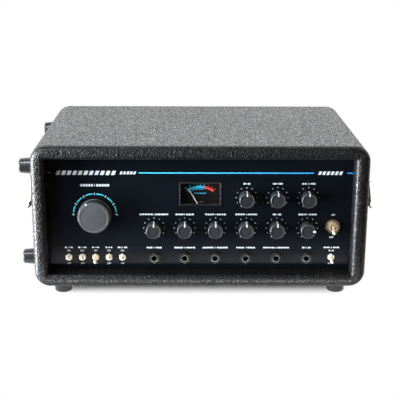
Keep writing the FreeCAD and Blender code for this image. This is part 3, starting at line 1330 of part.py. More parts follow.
def pinch_arm():
    low = "deck_top + arm_gap"
    shapes = [box("arm_bar", "capstan_x", ROLLER_Y + " - arm_half", low, "arm_length", "2*arm_half", "arm_thick"),
              cylinder("arm_end", "capstan_x", ROLLER_Y, low, "arm_half", "arm_thick"),
              cylinder("arm_root", PIVOT_X, ROLLER_Y, low, "arm_half", "arm_thick"),
              cylinder("roller_pin", "capstan_x", ROLLER_Y, low, "roller_pin", "arm_thick + roller_high + 2")]
    eye = cylinder("arm_eye", PIVOT_X, ROLLER_Y, "deck_top", "pivot_pin + shaft_clearance", "20")
    node(cut("pinch_arm", fuse("arm_body", shapes), eye))
    bore = "roller_pin + shaft_clearance"
    points = [(bore, "0"), ("roller_radius", "0"), ("roller_radius", "roller_high"), (bore, "roller_high")]
    node(turned("pinch_roller", points, "capstan_x", ROLLER_Y, low + " + arm_thick + 0.3"))


# ---------------------------------------------------------------- assembly

base_cabinet()
lid_cabinet()
base_feet()
lid_feet()
screws()
hinges()
latches()
carry_strap()
strap_end_caps()
front_panel()
controls()
jacks()
toggles()
meter_case()
meter_window()
meter_needle()
chassis_tray()
rear_panel()
power_inlet()
circuit_board()
power_transformer()
reverb_tank()
deck_plate()
tape_bin()
bin_cover()
tape_heads()
tape_guides()
capstan()
capstan_motor()
drive_belt()
tape_loop()
pinch_arm()
doc.recompute()

for obj in doc.Objects:
    if "Invalid" in obj.State or "Error" in obj.State:
        raise RuntimeError("%s failed: %s" % (obj.Name, obj.State))
for obj in nodes:
    if obj.Shape.isNull() or not obj.Shape.isValid():
        raise RuntimeError("%s has no valid shape" % obj.Label)

os.makedirs("parts", exist_ok=True)
for obj in nodes:
    obj.Shape.exportStep("parts/%s.step" % obj.Label)
    print("%-24s solids %2d  volume %10.1f" % (obj.Label, len(obj.Shape.Solids), obj.Shape.Volume))
print(len(nodes), "nodes")
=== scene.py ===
# %% [markdown]
# # Tape echo unit
# A portable tape echo stands in a wooden case that is covered in black pebbled vinyl.
# The lid swings up from a seam at seven tenths of the height, and the tape runs under it.
# Behind the front rail sits a gloss black control panel. The solid model gives every place
# and size, and this script reads them from there: a knob stands where its joint turns, and
# an edge is a side of a node's box. It adds the surfaces, and the small things that a hand
# or an eye would find. Lengths are in millimetres until a builder turns them into metres.

import json
import math
import random

import bmesh
import bpy
from mathutils import Matrix, Vector

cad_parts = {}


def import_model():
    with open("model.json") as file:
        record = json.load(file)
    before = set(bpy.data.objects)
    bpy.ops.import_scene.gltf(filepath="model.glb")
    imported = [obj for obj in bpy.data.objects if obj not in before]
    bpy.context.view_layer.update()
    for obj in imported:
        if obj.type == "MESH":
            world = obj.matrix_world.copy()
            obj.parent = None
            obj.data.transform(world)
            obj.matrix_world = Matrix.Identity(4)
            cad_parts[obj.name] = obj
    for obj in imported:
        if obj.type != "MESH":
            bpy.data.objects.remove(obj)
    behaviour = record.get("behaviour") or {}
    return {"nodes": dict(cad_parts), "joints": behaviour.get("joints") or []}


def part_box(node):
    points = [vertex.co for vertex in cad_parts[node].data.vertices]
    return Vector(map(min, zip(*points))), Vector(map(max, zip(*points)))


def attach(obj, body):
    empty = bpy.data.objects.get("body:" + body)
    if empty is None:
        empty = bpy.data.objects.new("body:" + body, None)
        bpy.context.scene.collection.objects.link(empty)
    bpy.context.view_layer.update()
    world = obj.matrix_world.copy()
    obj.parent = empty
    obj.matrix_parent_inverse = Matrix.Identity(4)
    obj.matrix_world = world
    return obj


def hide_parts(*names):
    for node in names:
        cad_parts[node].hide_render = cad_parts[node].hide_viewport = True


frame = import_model()
NODES = frame["nodes"]
PIVOTS = {joint["child"]: joint["pos_m"] for joint in frame["joints"]}
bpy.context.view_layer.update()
MM = 0.001
random.seed(11)


def in_mm(corner):
    return tuple(round(c / MM, 3) for c in corner)


def pivot(body):
    """Where a body turns, in millimetres."""
    return in_mm(PIVOTS[body])


def box(node):
    """Lowest and highest corner of a node at rest, in millimetres."""
    return [in_mm(corner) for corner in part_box(node)]


def middle(node):
    return [(low + high) / 2 for low, high in zip(*box(node))]


# %% [markdown]
# ## Shader arithmetic
# A material is a small calculation, and it could be wired node by node. That soon hides what
# is being worked out, so one class stands for a value in it and sums are written as sums.
# A second class adds any other node in one call, and a third starts a material.

# %% Values


class Value:
    """An output in a tree of nodes; arithmetic on it adds Math nodes."""

    def __init__(self, graph, socket):
        self.graph = graph
        self.socket = socket

    def __add__(self, other):
        return self.graph.math("ADD", self, other)

    def __sub__(self, other):
        return self.graph.math("SUBTRACT", self, other)

    def __rsub__(self, other):
        return self.graph.math("SUBTRACT", other, self)

    def __mul__(self, other):
        return self.graph.math("MULTIPLY", self, other)

    def __gt__(self, other):
        return self.graph.math("GREATER_THAN", self, other)

    __radd__ = __add__
    __rmul__ = __mul__


print("values add, subtract, multiply and compare")

# %% Graphs and materials
# A Mix node's sockets for colours come after its sockets for numbers and vectors.
MIX_FACTOR, MIX_FIRST, MIX_SECOND, MIX_COLOUR = 0, 6, 7, 2


class Graph:
    """The nodes of one tree, each added by one call."""

    def __init__(self, tree):
        self.tree = tree

    def feed(self, socket, value):
        """Links a value to a socket, or sets the socket to a number or a colour."""
        if isinstance(value, Value):
            self.tree.links.new(value.socket, socket)
        elif socket.type == "RGBA":
            socket.default_value = (*value, 1.0)
        else:
            socket.default_value = value

    def add(self, kind, settings=None, inputs=None, output=0):
        """A node of any kind: its settings go first, then what its sockets take."""
        node = self.tree.nodes.new(kind)
        for key, value in (settings or {}).items():
            setattr(node, key, value)
        for key, value in (inputs or {}).items():
            self.feed(node.inputs[key], value)
        return None if output is None else Value(self, node.outputs[output])

    def math(self, operation, *values):
        return self.add("ShaderNodeMath", {"operation": operation}, dict(enumerate(values)))

    def vector(self, operation, first, second, socket=1):
        inputs = {0: first, socket: second}
        return self.add("ShaderNodeVectorMath", {"operation": operation}, inputs)

    def place(self, stretch=(1, 1, 1)):
        """The place on the unit, in metres, stretched along each axis."""
        spot = self.add("ShaderNodeTexCoord", output="Object")
        return self.vector("MULTIPLY", spot, stretch)

    def axis(self, letter):
        spot = self.add("ShaderNodeTexCoord", output="Object")
        return self.add("ShaderNodeSeparateXYZ", inputs={0: spot}, output=letter)

    def ray(self, kind):
        """1 for rays of a kind, such as Camera or Glossy."""
        return self.add("ShaderNodeLightPath", output="Is " + kind + " Ray")

    def noise(self, scale, detail=3, where=None, output=0):
        inputs = {"Vector": where or self.place(), "Scale": scale, "Detail": detail}
        return self.add("ShaderNodeTexNoise", inputs=inputs, output=output)

    def cells(self, scale, where, feature="F1"):
        inputs = {"Vector": where, "Scale": scale}
        return self.add("ShaderNodeTexVoronoi", {"feature": feature}, inputs)

    def ramp(self, value, low, high):
        """0 up to low, 1 from high on, and a straight slope between them."""
        return self.add("ShaderNodeMapRange", inputs={0: value, 1: low, 2: high})

    def mix(self, factor, first, second):
        inputs = {MIX_FACTOR: factor, MIX_FIRST: first, MIX_SECOND: second}
        return self.add("ShaderNodeMix", {"data_type": "RGBA"}, inputs, MIX_COLOUR)

    def bump(self, height, strength, distance):
        """Relief from a height; distance is in millimetres."""
        inputs = {"Strength": strength, "Distance": distance * MM, "Height": height}
        return self.add("ShaderNodeBump", inputs=inputs)


class Material(Graph):
    """A material: a Principled shader and the nodes that feed it."""

    def __init__(self, name, **uniform):
        self.material = bpy.data.materials.new(name)
        self.material.use_nodes = True
        super().__init__(self.material.node_tree)
        self.shader = self.tree.nodes["Principled BSDF"]
        self.surface = Value(self, self.shader.outputs[0])
        self.set(**uniform)

    def set(self, **sockets):
        for name, value in sockets.items():
            self.feed(self.shader.inputs[name.replace("_", " ")], value)

    def show_mix(self, factor, first, second):
        """Shows two shaders; surface is the Principled one."""
        both = self.add("ShaderNodeMixShader", inputs={0: factor, 1: first, 2: second})
        self.feed(self.tree.nodes["Material Output"].inputs[0], both)


print("graphs and materials ready")

# %% [markdown]
# ## Covering
# The case is wrapped in vinyl that was pressed with a pebble grain before it was glued on.
# A picture of vinyl would show its seams, so the grain is worked out instead. Rounded cells
# give the pebbles, and noise shifts them, because an embossing roller copies real hide. The
# creases between them are darker in the colour: painted shade for the shadow that falls in
# them. A finer grain roughens each pebble, a thin polished coat lies on the tops, and broad
# patches show where hands have rubbed it. The strap's leather is the same recipe, painted
# shade in the creases included, with smaller, flatter pebbles.

# %% Vinyl and leather


def pebbled(name, size, dark, light, rough, depth, shine):
    """Grained sheet: size and depth of a pebble in millimetres; its tops are polished."""
    g = Material(name, Specular_IOR_Level=0.3, Coat_Roughness=0.25)
    per_metre = 1 / (size * MM)
    wander = g.noise(0.5 * per_metre, 3, output="Color")
    shift = g.vector("SCALE", wander, 1.9 * size * MM, "Scale")
    where = g.vector("ADD", g.place(), shift)
    pebble = g.ramp(g.cells(per_metre, where, "DISTANCE_TO_EDGE"), 0.03, 0.32)
    crown = 1 - g.cells(per_metre, where)
    fine = g.noise(3.5 * per_metre, 2)
    worn = g.ramp(g.noise(14, 4), 0.3, 0.7)
    tone = g.ramp(g.noise(0.4 * per_metre, 2), 0.35, 0.65)
    height = pebble * 0.5 + crown * 0.9 + fine * 0.12
    # The creases take the dark end of the colour: painted shade for the shadow in them, which the bump does
    # not cast.
    g.set(Base_Color=g.mix(pebble * 0.6 + worn * 0.2 + tone * 0.2, dark, light),
          Roughness=rough + (1 - pebble) * 0.4 + worn * 0.03,
          Coat_Weight=pebble * (tone * 0.25 + 0.7) * shine,
          Normal=g.bump(height, 1.0, depth))
    return g.material


VINYL = pebbled("pebbled_vinyl", size=3.1, dark=(0.001, 0.001, 0.0011), light=(0.006, 0.0063, 0.0075),
                rough=0.17, depth=0.55, shine=1.0)
# The strap's creases get the same painted shade.
STRAP = pebbled("strap_leather", size=1.2, dark=(0.008, 0.007, 0.006), light=(0.03, 0.026, 0.024),
                rough=0.4, depth=0.3, shine=0.3)
print("made", VINYL.name, "and", STRAP.name)

# %% [markdown]
# ## Hard surfaces
# Metals, mouldings and rubber differ in a few numbers: two tints that drift into each other,
# how rough they are, how fine their grain is, and whether they are metal. One function with
# those numbers keeps them alike where they should be, which a graph for each would not.
# Smudges are broad changes of roughness, and a brushed sheet is the same grain, stretched.

# %% Metals, plastics and rubber
SMUDGE = 0.2
GRAIN_ROUGHNESS = 0.12


def plain(name, tint, drift, rough, metal=0.0, grain=1200, relief=0.02, stretch=(1, 1, 1), **more):
    """Grain is its fineness per metre, relief its depth in millimetres."""
    g = Material(name, Metallic=metal, **more)
    broad = g.noise(38, 4)
    fine = g.noise(grain, 3, g.place(stretch))
    g.set(Base_Color=g.mix(g.ramp(broad, 0.3, 0.7), tint, drift),
          Roughness=rough + (broad - 0.5) * SMUDGE + (fine - 0.5) * GRAIN_ROUGHNESS,
          Normal=g.bump(fine, 0.6, relief))
    return g.material


NICKEL = plain("nickel", (0.8, 0.74, 0.64), (0.62, 0.55, 0.45), 0.16, metal=1.0, grain=2500, relief=0.008)
SMOKED = plain("blackened_steel", (0.34, 0.34, 0.355), (0.25, 0.25, 0.26), 0.16,
               metal=1.0, grain=1800, relief=0.008)
STEEL = plain("ground_steel", (0.62, 0.62, 0.63), (0.5, 0.5, 0.52), 0.2,
              metal=1.0, grain=2500, relief=0.008)
ZINC = plain("zinc_plate", (0.5, 0.51, 0.52), (0.4, 0.41, 0.44), 0.38, metal=1.0, grain=500, relief=0.01)
ALUMINIUM = plain("brushed_deck", (0.6, 0.6, 0.61), (0.5, 0.5, 0.52), 0.3,
                  metal=1.0, grain=90, stretch=(1, 30, 30))
BRASS = plain("turned_brass", (0.66, 0.47, 0.2), (0.5, 0.35, 0.15), 0.22, metal=1.0, grain=900, relief=0.01)
CORE = plain("core_steel", (0.2, 0.2, 0.21), (0.1, 0.1, 0.11), 0.45, metal=0.9, grain=300, relief=0.05)
RUBBER = plain("foot_rubber", (0.012, 0.012, 0.013), (0.02, 0.02, 0.021), 0.22,
               grain=900, relief=0.03, Specular_IOR_Level=0.8)
BELT = plain("belt_rubber", (0.015, 0.015, 0.015), (0.03, 0.03, 0.03), 0.6)
KNOB = plain("knob_plastic", (0.018, 0.0188, 0.021), (0.025, 0.026, 0.029), 0.36, grain=1600, relief=0.03)
DIAL_GREY = plain("mode_knob_plastic", (0.05, 0.052, 0.057), (0.064, 0.066, 0.071), 0.44,
                  grain=1600, relief=0.03)
# Lighter than the knob plastic: a painted highlight on the crest of the small knobs' rims and on the mode
# knob's edge. The meter trim is made of it too.
RIM = plain("knob_rim", (0.045, 0.046, 0.05), (0.032, 0.033, 0.036), 0.25, grain=1600)
BRIGHT = plain("mode_knob_rim", (0.1, 0.101, 0.105), (0.075, 0.076, 0.08), 0.25, grain=1600)
NUT = plain("black_nut", (0.012, 0.012, 0.013), (0.02, 0.02, 0.021), 0.24, grain=1500)
SMOKE = plain("black_plastic", (0.01, 0.01, 0.011), (0.016, 0.016, 0.017), 0.4, grain=700)
SOCKET = plain("socket_plastic", (0.008, 0.008, 0.009), (0.014, 0.014, 0.015), 0.28)
DIAL_CARD = plain("dial_card", (0.006, 0.005, 0.005), (0.009, 0.007, 0.006), 0.6,
                  grain=2400, Specular_IOR_Level=0.1)
NEEDLE = plain("needle_paint", (0.9, 0.91, 0.92), (0.8, 0.81, 0.82), 0.5)
FERRIC = plain("tape_oxide", (0.06, 0.032, 0.02), (0.045, 0.025, 0.016), 0.3)
THREAD = plain("thread", (0.05, 0.05, 0.05), (0.03, 0.03, 0.03), 0.7, grain=5000, relief=0.06)
DARK = plain("dark_hollow", (0.003, 0.003, 0.003), (0.005, 0.005, 0.005), 0.7)
print(len(bpy.data.materials), "materials so far")

# %% [markdown]
# ## Plated switches
# The levers and the nuts of the switches are satin nickel, which is warmer than chrome and
# never mirrors clearly. The mains switch has aged to a yellower tone. Both kinds share a
# node, so the height on the panel chooses the tint instead of a second material.

# %% Satin nickel
MAINS_LEVEL = 70.0


def plated(name, mains_tint, mains_metal):
    g = Material(name)
    fine = g.noise(1800, 3)
    mains = g.axis("Z") > MAINS_LEVEL * MM
    drift = g.ramp(g.noise(38, 4), 0.3, 0.7)
    small_tint = g.mix(drift, (1.0, 0.96, 0.84), (1.0, 0.87, 0.68))
    g.set(Base_Color=g.mix(mains, small_tint, mains_tint),
          Metallic=0.35 + mains * (mains_metal - 0.35),
          Roughness=0.28 - mains * 0.06 + (fine - 0.5) * GRAIN_ROUGHNESS,
          Normal=g.bump(fine, 0.6, 0.01))
    return g.material


SATIN = plated("satin_nickel", (0.95, 0.84, 0.64), 0.6)
GILT = plated("satin_nut", (0.78, 0.62, 0.4), 0.85)
print("made", SATIN.name, "and", GILT.name)

# %% [markdown]
# ## Clear sheets
# The meter's window and the cover of the tape bin are clear plastic. True refraction bends
# what lies behind, but a thin flat sheet hardly does, and it costs many more rays. So most
# light passes straight through, a small share is mirrored, and wiping has left a haze.

# %% Glass and acrylic


def clear(name, tint, shine):
    """Thin clear sheet: shine is the share of the light that is mirrored."""
    g = Material(name, Base_Color=tint, Roughness=0.06, Metallic=1.0)
    haze = g.ramp(g.noise(30, 4), 0.45, 0.9)
    through = g.add("ShaderNodeBsdfTransparent", inputs={0: tint})
    g.show_mix(shine + haze * shine, through, g.surface)
    return g.material


GLASS = clear("meter_glass", (0.97, 0.98, 0.99), 0.004)
ACRYLIC = clear("cover_acrylic", (0.85, 0.88, 0.9), 0.05)
print("made", GLASS.name, "and", ACRYLIC.name)

# %% [markdown]
# ## Panel paint and print
# The panel is sprayed gloss black and baked. Dust settles on it, and a cloth leaves long
# faint wipes. The markings are screen printed: white, a blue that runs from cyan at the left
# to a deeper blue at the right, and red at the meter's end. The inks differ in tint alone, so
# one function makes them all, and small pinholes keep them from looking like stickers.

# %% Paint and inks
INK_LEFT, INK_RIGHT = -0.08, 0.15


def panel_paint():
    g = Material("panel_paint", Specular_IOR_Level=0.22)
    wipe = g.noise(14, 4, g.place((1, 1, 5)))
    dust = g.ramp(g.noise(2600, 1), 0.72, 0.8)
    g.set(Base_Color=g.mix(dust * 0.3, (0.003, 0.0047, 0.0078), (0.05, 0.05, 0.055)),
          Roughness=0.3 + (wipe - 0.5) * 0.16 + dust * 0.3,
          Normal=g.bump(g.noise(420, 2), 0.25, 0.01))
    return g.material


def ink(name, tint, other=None):
    """Screen print with small pinholes; other is the tint that it runs to at the right."""
    g = Material(name, Roughness=0.55)
    thin = g.ramp(g.noise(2200, 2), 0.3, 0.5)
    tone = g.mix(g.ramp(g.axis("X"), INK_LEFT, INK_RIGHT), tint, other or tint)
    g.set(Base_Color=g.mix(thin * 0.15 + 0.85, (0.05, 0.05, 0.05), tone),
          Normal=g.bump(thin, 0.3, 0.02))
    return g.material


PAINT = panel_paint()
WHITE = ink("white_ink", (0.7, 0.78, 0.84))
BLUE = ink("blue_ink", (0.05, 0.72, 0.95), (0.03, 0.42, 0.95))
RED = ink("red_ink", (0.95, 0.05, 0.03))
GREY = ink("grey_ink", (0.16, 0.17, 0.18))
print("made the paint and four inks")

# %% [markdown]
# ## Circuit board and transformer
# On the real unit each of these two is made of several materials. Splitting the solids would
# add pieces that nobody sees with the lid shut. A level along one axis tells the materials
# apart instead: board from components, and the core from the winding on both sides of it.

# %% Looks that change with the place
BOARD_SURFACE = 1.7
CAPACITOR_TOP = 0.3
WINDING_REACH = 10.9


def board_look():
    """Green board; what stands on it is black, with pale tops on the round capacitors."""
    g = Material("circuit_board")
    low, high = box("circuit_board")
    raised = g.axis("Z") > (low[2] + BOARD_SURFACE) * MM
    top = g.axis("Z") > (high[2] - CAPACITOR_TOP) * MM
    green = g.mix(g.noise(300, 3), (0.02, 0.09, 0.04), (0.03, 0.14, 0.06))
    component = g.mix(top, (0.015, 0.015, 0.02), (0.5, 0.5, 0.5))
    g.set(Base_Color=g.mix(raised, green, component), Roughness=0.35 + g.noise(200, 3) * 0.2,
          Normal=g.bump(g.noise(500, 3), 0.4, 0.1))
    return g.material


def transformer_look():
    """Stacked sheets of the core with a taped winding around the middle leg."""
    g = Material("transformer")
    low, high = box("power_transformer")
    sheets = g.noise(1, 2, g.place((0, 1500, 0)))
    behind = g.axis("Y") > (high[1] - WINDING_REACH) * MM
    before = 1 - (g.axis("Y") > (low[1] + WINDING_REACH) * MM)
    core = g.mix(sheets, (0.06, 0.06, 0.065), (0.2, 0.2, 0.21))
    g.set(Base_Color=g.mix(behind + before, core, (0.55, 0.4, 0.08)), Roughness=0.5 + sheets * 0.2,
          Normal=g.bump(sheets, 0.7, 0.2))
    return g.material


print("the winding reaches", WINDING_REACH, "mm out of the core")

# %% [markdown]
# ## Surfaces for the solid pieces
# Each solid piece takes the material of what it is made of. Punched and bent metal is never
# sharp, and where the covering turns in at the seam the case has a small round of its own.
# Both come from a bevel that acts on sharp edges only, which leaves the solids as they are.

# %% Assign materials to the solid pieces
LOOKS = (
    (VINYL, "base_cabinet lid_cabinet"),
    (RUBBER, "base_feet lid_feet"),
    (NICKEL, "hinge_leaves_base hinge_leaves_lid latch_plates latch_lever_left latch_lever_right"),
    (NICKEL, "latch_loop_left latch_loop_right latch_keepers strap_end_caps tape_guides"),
    (PAINT, "front_panel rear_panel"),
    (ZINC, "rotary_controls chassis_tray reverb_tank pinch_arm"),
    (SOCKET, "jack_sockets power_inlet"),
    (NUT, "jack_nuts"),
    (SATIN, "toggle_switches"),
    (GILT, "toggle_nuts"),
    (SMOKE, "meter_case tape_bin"),
    (GLASS, "meter_window"),
    (NEEDLE, "meter_needle"),
    (board_look(), "circuit_board"),
    (transformer_look(), "power_transformer"),
    (ALUMINIUM, "deck_plate"),
    (ACRYLIC, "bin_cover"),
    (STEEL, "tape_heads capstan_shaft"),
    (BRASS, "flywheel motor_pulley"),
    (CORE, "capstan_motor"),
    (BELT, "pinch_roller drive_belt"),
    (FERRIC, "tape_loop"),
)
STAMPED = ("latch_plates latch_lever_left latch_lever_right latch_keepers strap_end_caps "
           "hinge_leaves_base hinge_leaves_lid jack_nuts toggle_nuts power_inlet pinch_arm").split()
COVERED_ROUND = 0.8
STAMPED_ROUND = 0.15


def ease(obj, width, sharper_than):
    """Rounds the edges that turn by more than an angle; width is in millimetres."""
    bevel = obj.modifiers.new("eased edges", "BEVEL")
    bevel.width = width * MM
    bevel.segments = 2
    bevel.limit_method = "ANGLE"
    bevel.angle_limit = math.radians(sharper_than)


def dress(node, material):
    obj = NODES[node]
    obj.data.materials.clear()
    obj.data.materials.append(material)
    if material is VINYL:
        ease(obj, COVERED_ROUND, 40)
    elif node in STAMPED:
        ease(obj, STAMPED_ROUND, 40)


dressed = [dress(node, material) for material, nodes in LOOKS for node in nodes.split()]
print(len(dressed), "solid pieces dressed")

# %% [markdown]
# ## Making new pieces
# A turned piece is a profile carried round an axis, print is a flat shape a hair in front of
# the panel, and a strap is a section carried along a path. Blender's ready-made shapes would
# need cutting and joining, so one builder collects such faces in millimetres and makes a
# mesh that rides on a body of the frame.

# %% The builder


def spin(degrees, axis):
    return Matrix.Rotation(math.radians(degrees), 4, axis)


TO_FRONT = spin(90, "X")
TO_BACK = spin(-90, "X")
TO_LEFT = spin(-90, "Y")
TO_RIGHT = spin(90, "Y")
UPRIGHT = Matrix()
PANEL = box("front_panel")[0][1]
PRINT = PANEL - 0.06
CAPITAL_SHARE = 0.7
STROKE_GAIN = 0.035
DOT_SIDES = 14


def turned(x, y, z, clockwise):
    """A place that also turns clockwise, as seen from the front."""
    return Matrix.Translation((x, y, z)) @ spin(clockwise, "Y")


def circle(count):
    """Equal steps round a circle, as angles."""
    return [math.tau * i / count for i in range(count)]


class Build:
    """Faces in millimetres, in the unit's own frame."""

    def __init__(self):
        self.mesh = bmesh.new()

    def points(self, corners, matrix=UPRIGHT):
        return [self.mesh.verts.new(matrix @ Vector(corner)) for corner in corners]

    def faces(self, corners, loops, matrix=UPRIGHT):
        made = self.points(corners, matrix)
        for loop in loops:
            self.mesh.faces.new([made[i] for i in loop])

    def join(self, rings):
        """Faces between equal rings; where a ring is one point, they are triangles."""
        for low, high in zip(rings, rings[1:]):
            for i in range(len(low)):
                j = (i + 1) % len(low)
                loop = dict.fromkeys((low[i], low[j], high[j], high[i]))
                if len(loop) > 2:
                    self.mesh.faces.new(list(loop))

    def lathe(self, profile, spot, turn=TO_FRONT, segments=48):
        """Carries (radius, height) points round an axis; a radius of 0 closes an end."""
        matrix = Matrix.Translation(spot) @ turn
        rings = []
        for radius, height in profile:
            if radius == 0:
                rings.append(self.points([(0, 0, height)], matrix) * segments)
            else:
                ring = [(radius * math.cos(a), radius * math.sin(a), height) for a in circle(segments)]
                rings.append(self.points(ring, matrix))
        self.join(rings)

    def block(self, low, high, matrix=UPRIGHT):
        (a, b, c), (d, e, f) = low, high
        corners = [(x, y, z) for z in (c, f) for x, y in ((a, b), (d, b), (d, e), (a, e))]
        loops = [(3, 2, 1, 0), (4, 5, 6, 7), (0, 1, 5, 4), (1, 2, 6, 5), (2, 3, 7, 6), (3, 0, 4, 7)]
        self.faces(corners, loops, matrix)

    def sweep(self, sections):
        """Joins equal outlines, one after the other, and closes both ends."""
        rings = [self.points(section) for section in sections]
        self.join(rings)
        self.mesh.faces.new(list(reversed(rings[0])))
        self.mesh.faces.new(rings[-1])

    def bar(self, x, z, wide, high, angle=0.0, y=PRINT):
        """A flat printed bar, turned by angle degrees clockwise."""
        w, h = wide / 2, high / 2
        corners = [(-w, 0, -h), (w, 0, -h), (w, 0, h), (-w, 0, h)]
        self.faces(corners, [(0, 1, 2, 3)], turned(x, y, z, angle))

    def arc(self, x, z, inner, outer, start, end, y=PRINT):
        """A printed arc; angles in degrees clockwise from upright."""
        steps = max(2, int(abs(end - start) / 3))
        corners = []
        for i in range(steps + 1):
            angle = math.radians(start + (end - start) * i / steps)
            for radius in (inner, outer):
                corners.append((x + radius * math.sin(angle), y, z + radius * math.cos(angle)))
        loops = [(2 * i, 2 * i + 2, 2 * i + 3, 2 * i + 1) for i in range(steps)]
        self.faces(corners, loops)

    def dot(self, x, z, radius):
        ring = [(x + radius * math.sin(a), PRINT, z + radius * math.cos(a)) for a in circle(DOT_SIDES)]
        self.faces(ring, [tuple(reversed(range(DOT_SIDES)))])

    def words(self, text, x, z, high, y=PRINT, angle=0.0):
        """Printed characters, centred; high is the height of a capital."""
        curve = bpy.data.curves.new("words", "FONT")
        curve.body = text
        curve.size = high / CAPITAL_SHARE
        curve.align_x = "CENTER"
        curve.offset = high * STROKE_GAIN
        holder = bpy.data.objects.new("words", curve)
        flat = bpy.data.meshes.new_from_object(holder)
        corners = [(v.co.x, 0, v.co.y - high / 2) for v in flat.vertices]
        self.faces(corners, [tuple(p.vertices) for p in flat.polygons], turned(x, y, z, angle))
        bpy.data.objects.remove(holder)
        bpy.data.curves.remove(curve)
        bpy.data.meshes.remove(flat)

    def make(self, name, material, body, *replaced, sharp=38, round_off=0):
        """Makes the object; sharp is the angle in degrees from which an edge stays crisp."""
        bmesh.ops.recalc_face_normals(self.mesh, faces=self.mesh.faces[:])
        bmesh.ops.scale(self.mesh, vec=(MM, MM, MM), verts=self.mesh.verts[:])
        data = bpy.data.meshes.new(name)
        self.mesh.to_mesh(data)
        self.mesh.free()
        data.polygons.foreach_set("use_smooth", [True] * len(data.polygons))
        data.set_sharp_from_angle(angle=math.radians(sharp))
        data.materials.append(material)
        obj = bpy.data.objects.new(name, data)
        bpy.context.collection.objects.link(obj)
        if round_off:
            ease(obj, round_off, 30)
        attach(obj, body)
        if replaced:
            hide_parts(*replaced)
        return obj


print("builder ready; the panel's front is at", round(PANEL, 2))

# %% [markdown]
# ## Knobs
# The small knobs are moulded caps with a raised rim round a face that rises a little to its
# middle. The rim is lighter than the rest: a painted highlight where its crest catches the light.
# One turned piece would need a mask for the rim, so there are three that share their border
# rings. The white line runs up the side and over the rim, where it can be read from above. It
# stands a few hundredths of a millimetre proud.

# %% Small knobs
SETTINGS = {"input_volume": 0, "chorus_rate": 0, "chorus_depth": 0, "reverb_volume": 0, "tape_speed": 0,
            "echo_volume": 90, "bass": 0, "treble": 0, "feedback": 0}
KNOBS = {name + "_knob": clockwise for name, clockwise in SETTINGS.items()}
COLUMNS = [pivot(name)[0] for name in list(KNOBS)[:6]]
KNOB_RADIUS = 9.6
SIDE_TOP = 14.7
RIM_INSIDE = KNOB_RADIUS - 1.4
LINE_WIDTH = 1.6
CAP = [(7.0, 5.0), (7.0, 1.0), (KNOB_RADIUS - 0.3, 0.85), (KNOB_RADIUS - 0.02, 1.1),
       (KNOB_RADIUS, 4), (KNOB_RADIUS, 9), (KNOB_RADIUS, SIDE_TOP)]
RIDGE = [(KNOB_RADIUS, SIDE_TOP), (9.54, 15.2), (9.35, 15.6), (9.05, 15.85), (8.7, 15.95),
         (8.4, 15.9), (RIM_INSIDE, 15.75)]
FACE = [(RIM_INSIDE, 15.75), (7.7, 15.6), (5, 15.7), (2.5, 15.76), (0, 15.78)]
LINE = [(9.68, 4.0), (9.68, SIDE_TOP), (9.62, 15.25), (9.42, 15.68), (9.1, 15.93), (8.7, 16.03),
        (8.35, 15.98), (8.1, 15.85), (7.5, 15.75), (5.0, 15.65)]


def let_in(body, outline, clockwise):
    """A white strip on a turned piece: outline is its (radius, height) course."""
    build = Build()
    corners = []
    for radius, height in outline:
        corners += [(-LINE_WIDTH / 2, radius, height), (LINE_WIDTH / 2, radius, height)]
    loops = [(2 * i, 2 * i + 1, 2 * i + 3, 2 * i + 2) for i in range(len(outline) - 1)]
    turn = spin(-clockwise, "Z")
    build.faces(corners, loops, Matrix.Translation(pivot(body)) @ TO_FRONT @ turn)
    build.make(body + "_line", WHITE, body)


def turned_parts(body, parts, segments):
    """Turned pieces that share their border rings; the first one replaces the node."""
    for i, (part, profile, material) in enumerate(parts):
        build = Build()
        build.lathe(profile, pivot(body), segments=segments)
        build.make(body + "_" + part, material, body, *([] if i else [body]))


for name, rest in KNOBS.items():
    # The ridge takes the lighter rim material: a painted highlight on the rim.
    turned_parts(name, (("cap", CAP, KNOB), ("ridge", RIDGE, RIM), ("dish", FACE, KNOB)), 72)
    let_in(name, LINE, rest)
print(len(KNOBS), "small knobs, columns at", [round(x, 1) for x in COLUMNS])

# %% [markdown]
# ## Mode knob
# The big selector has a thin skirt at the panel, a smooth waist, and a bevel that leads to a
# slightly domed face. The skirt and a narrow ring round the face catch the light, so they
# have a brighter material. It is built as the small knobs are, with finer steps.

# %% Mode knob
MODE = pivot("mode_knob")
MODE_REST = -30
MODE_RADIUS = 20.4
MODE_PARTS = (
    ("skirt", [(9, 2.6), (20.8, 2.5), (21.15, 2.8), (21.15, 3.6), (20.9, 3.95), (20.45, 4.2)], BRIGHT),
    ("waist", [(20.45, 4.2), (MODE_RADIUS, 5), (MODE_RADIUS, 14.2)], KNOB),
    # The edge takes the lighter rim material: a painted highlight.
    ("edge", [(MODE_RADIUS, 14.2), (20.3, 14.65), (20.0, 14.95), (19.6, 15.1)], RIM),
    ("bevel", [(19.6, 15.1), (18.4, 15.38), (18.1, 15.45)], DIAL_GREY),
    ("ring", [(18.1, 15.45), (17.9, 15.55), (17.6, 15.5), (17.45, 15.35)], BRIGHT),
    ("face", [(17.45, 15.35), (17.0, 15.3), (14, 15.55), (11, 15.75), (8, 15.9), (4, 16.0), (0, 16.03)],
     DIAL_GREY),
)
MODE_LINE = [(20.48, 12.6), (20.48, 14.2), (20.38, 14.7), (20.05, 15.03), (19.6, 15.2), (18.3, 15.5)]
turned_parts("mode_knob", MODE_PARTS, 112)
let_in("mode_knob", MODE_LINE, MODE_REST)
print(len(MODE_PARTS), "parts of the mode knob at", [round(c, 1) for c in MODE])

# %% [markdown]
# ## Toggles
# A bat lever is turned from brass and plated: a slim neck swells to a rounded tip, and a ball
# holds it in a threaded bushing. It is one profile carried round the lever's own axis, worked
# out from the ball, the neck, the tip and the length, so one function makes both sizes.

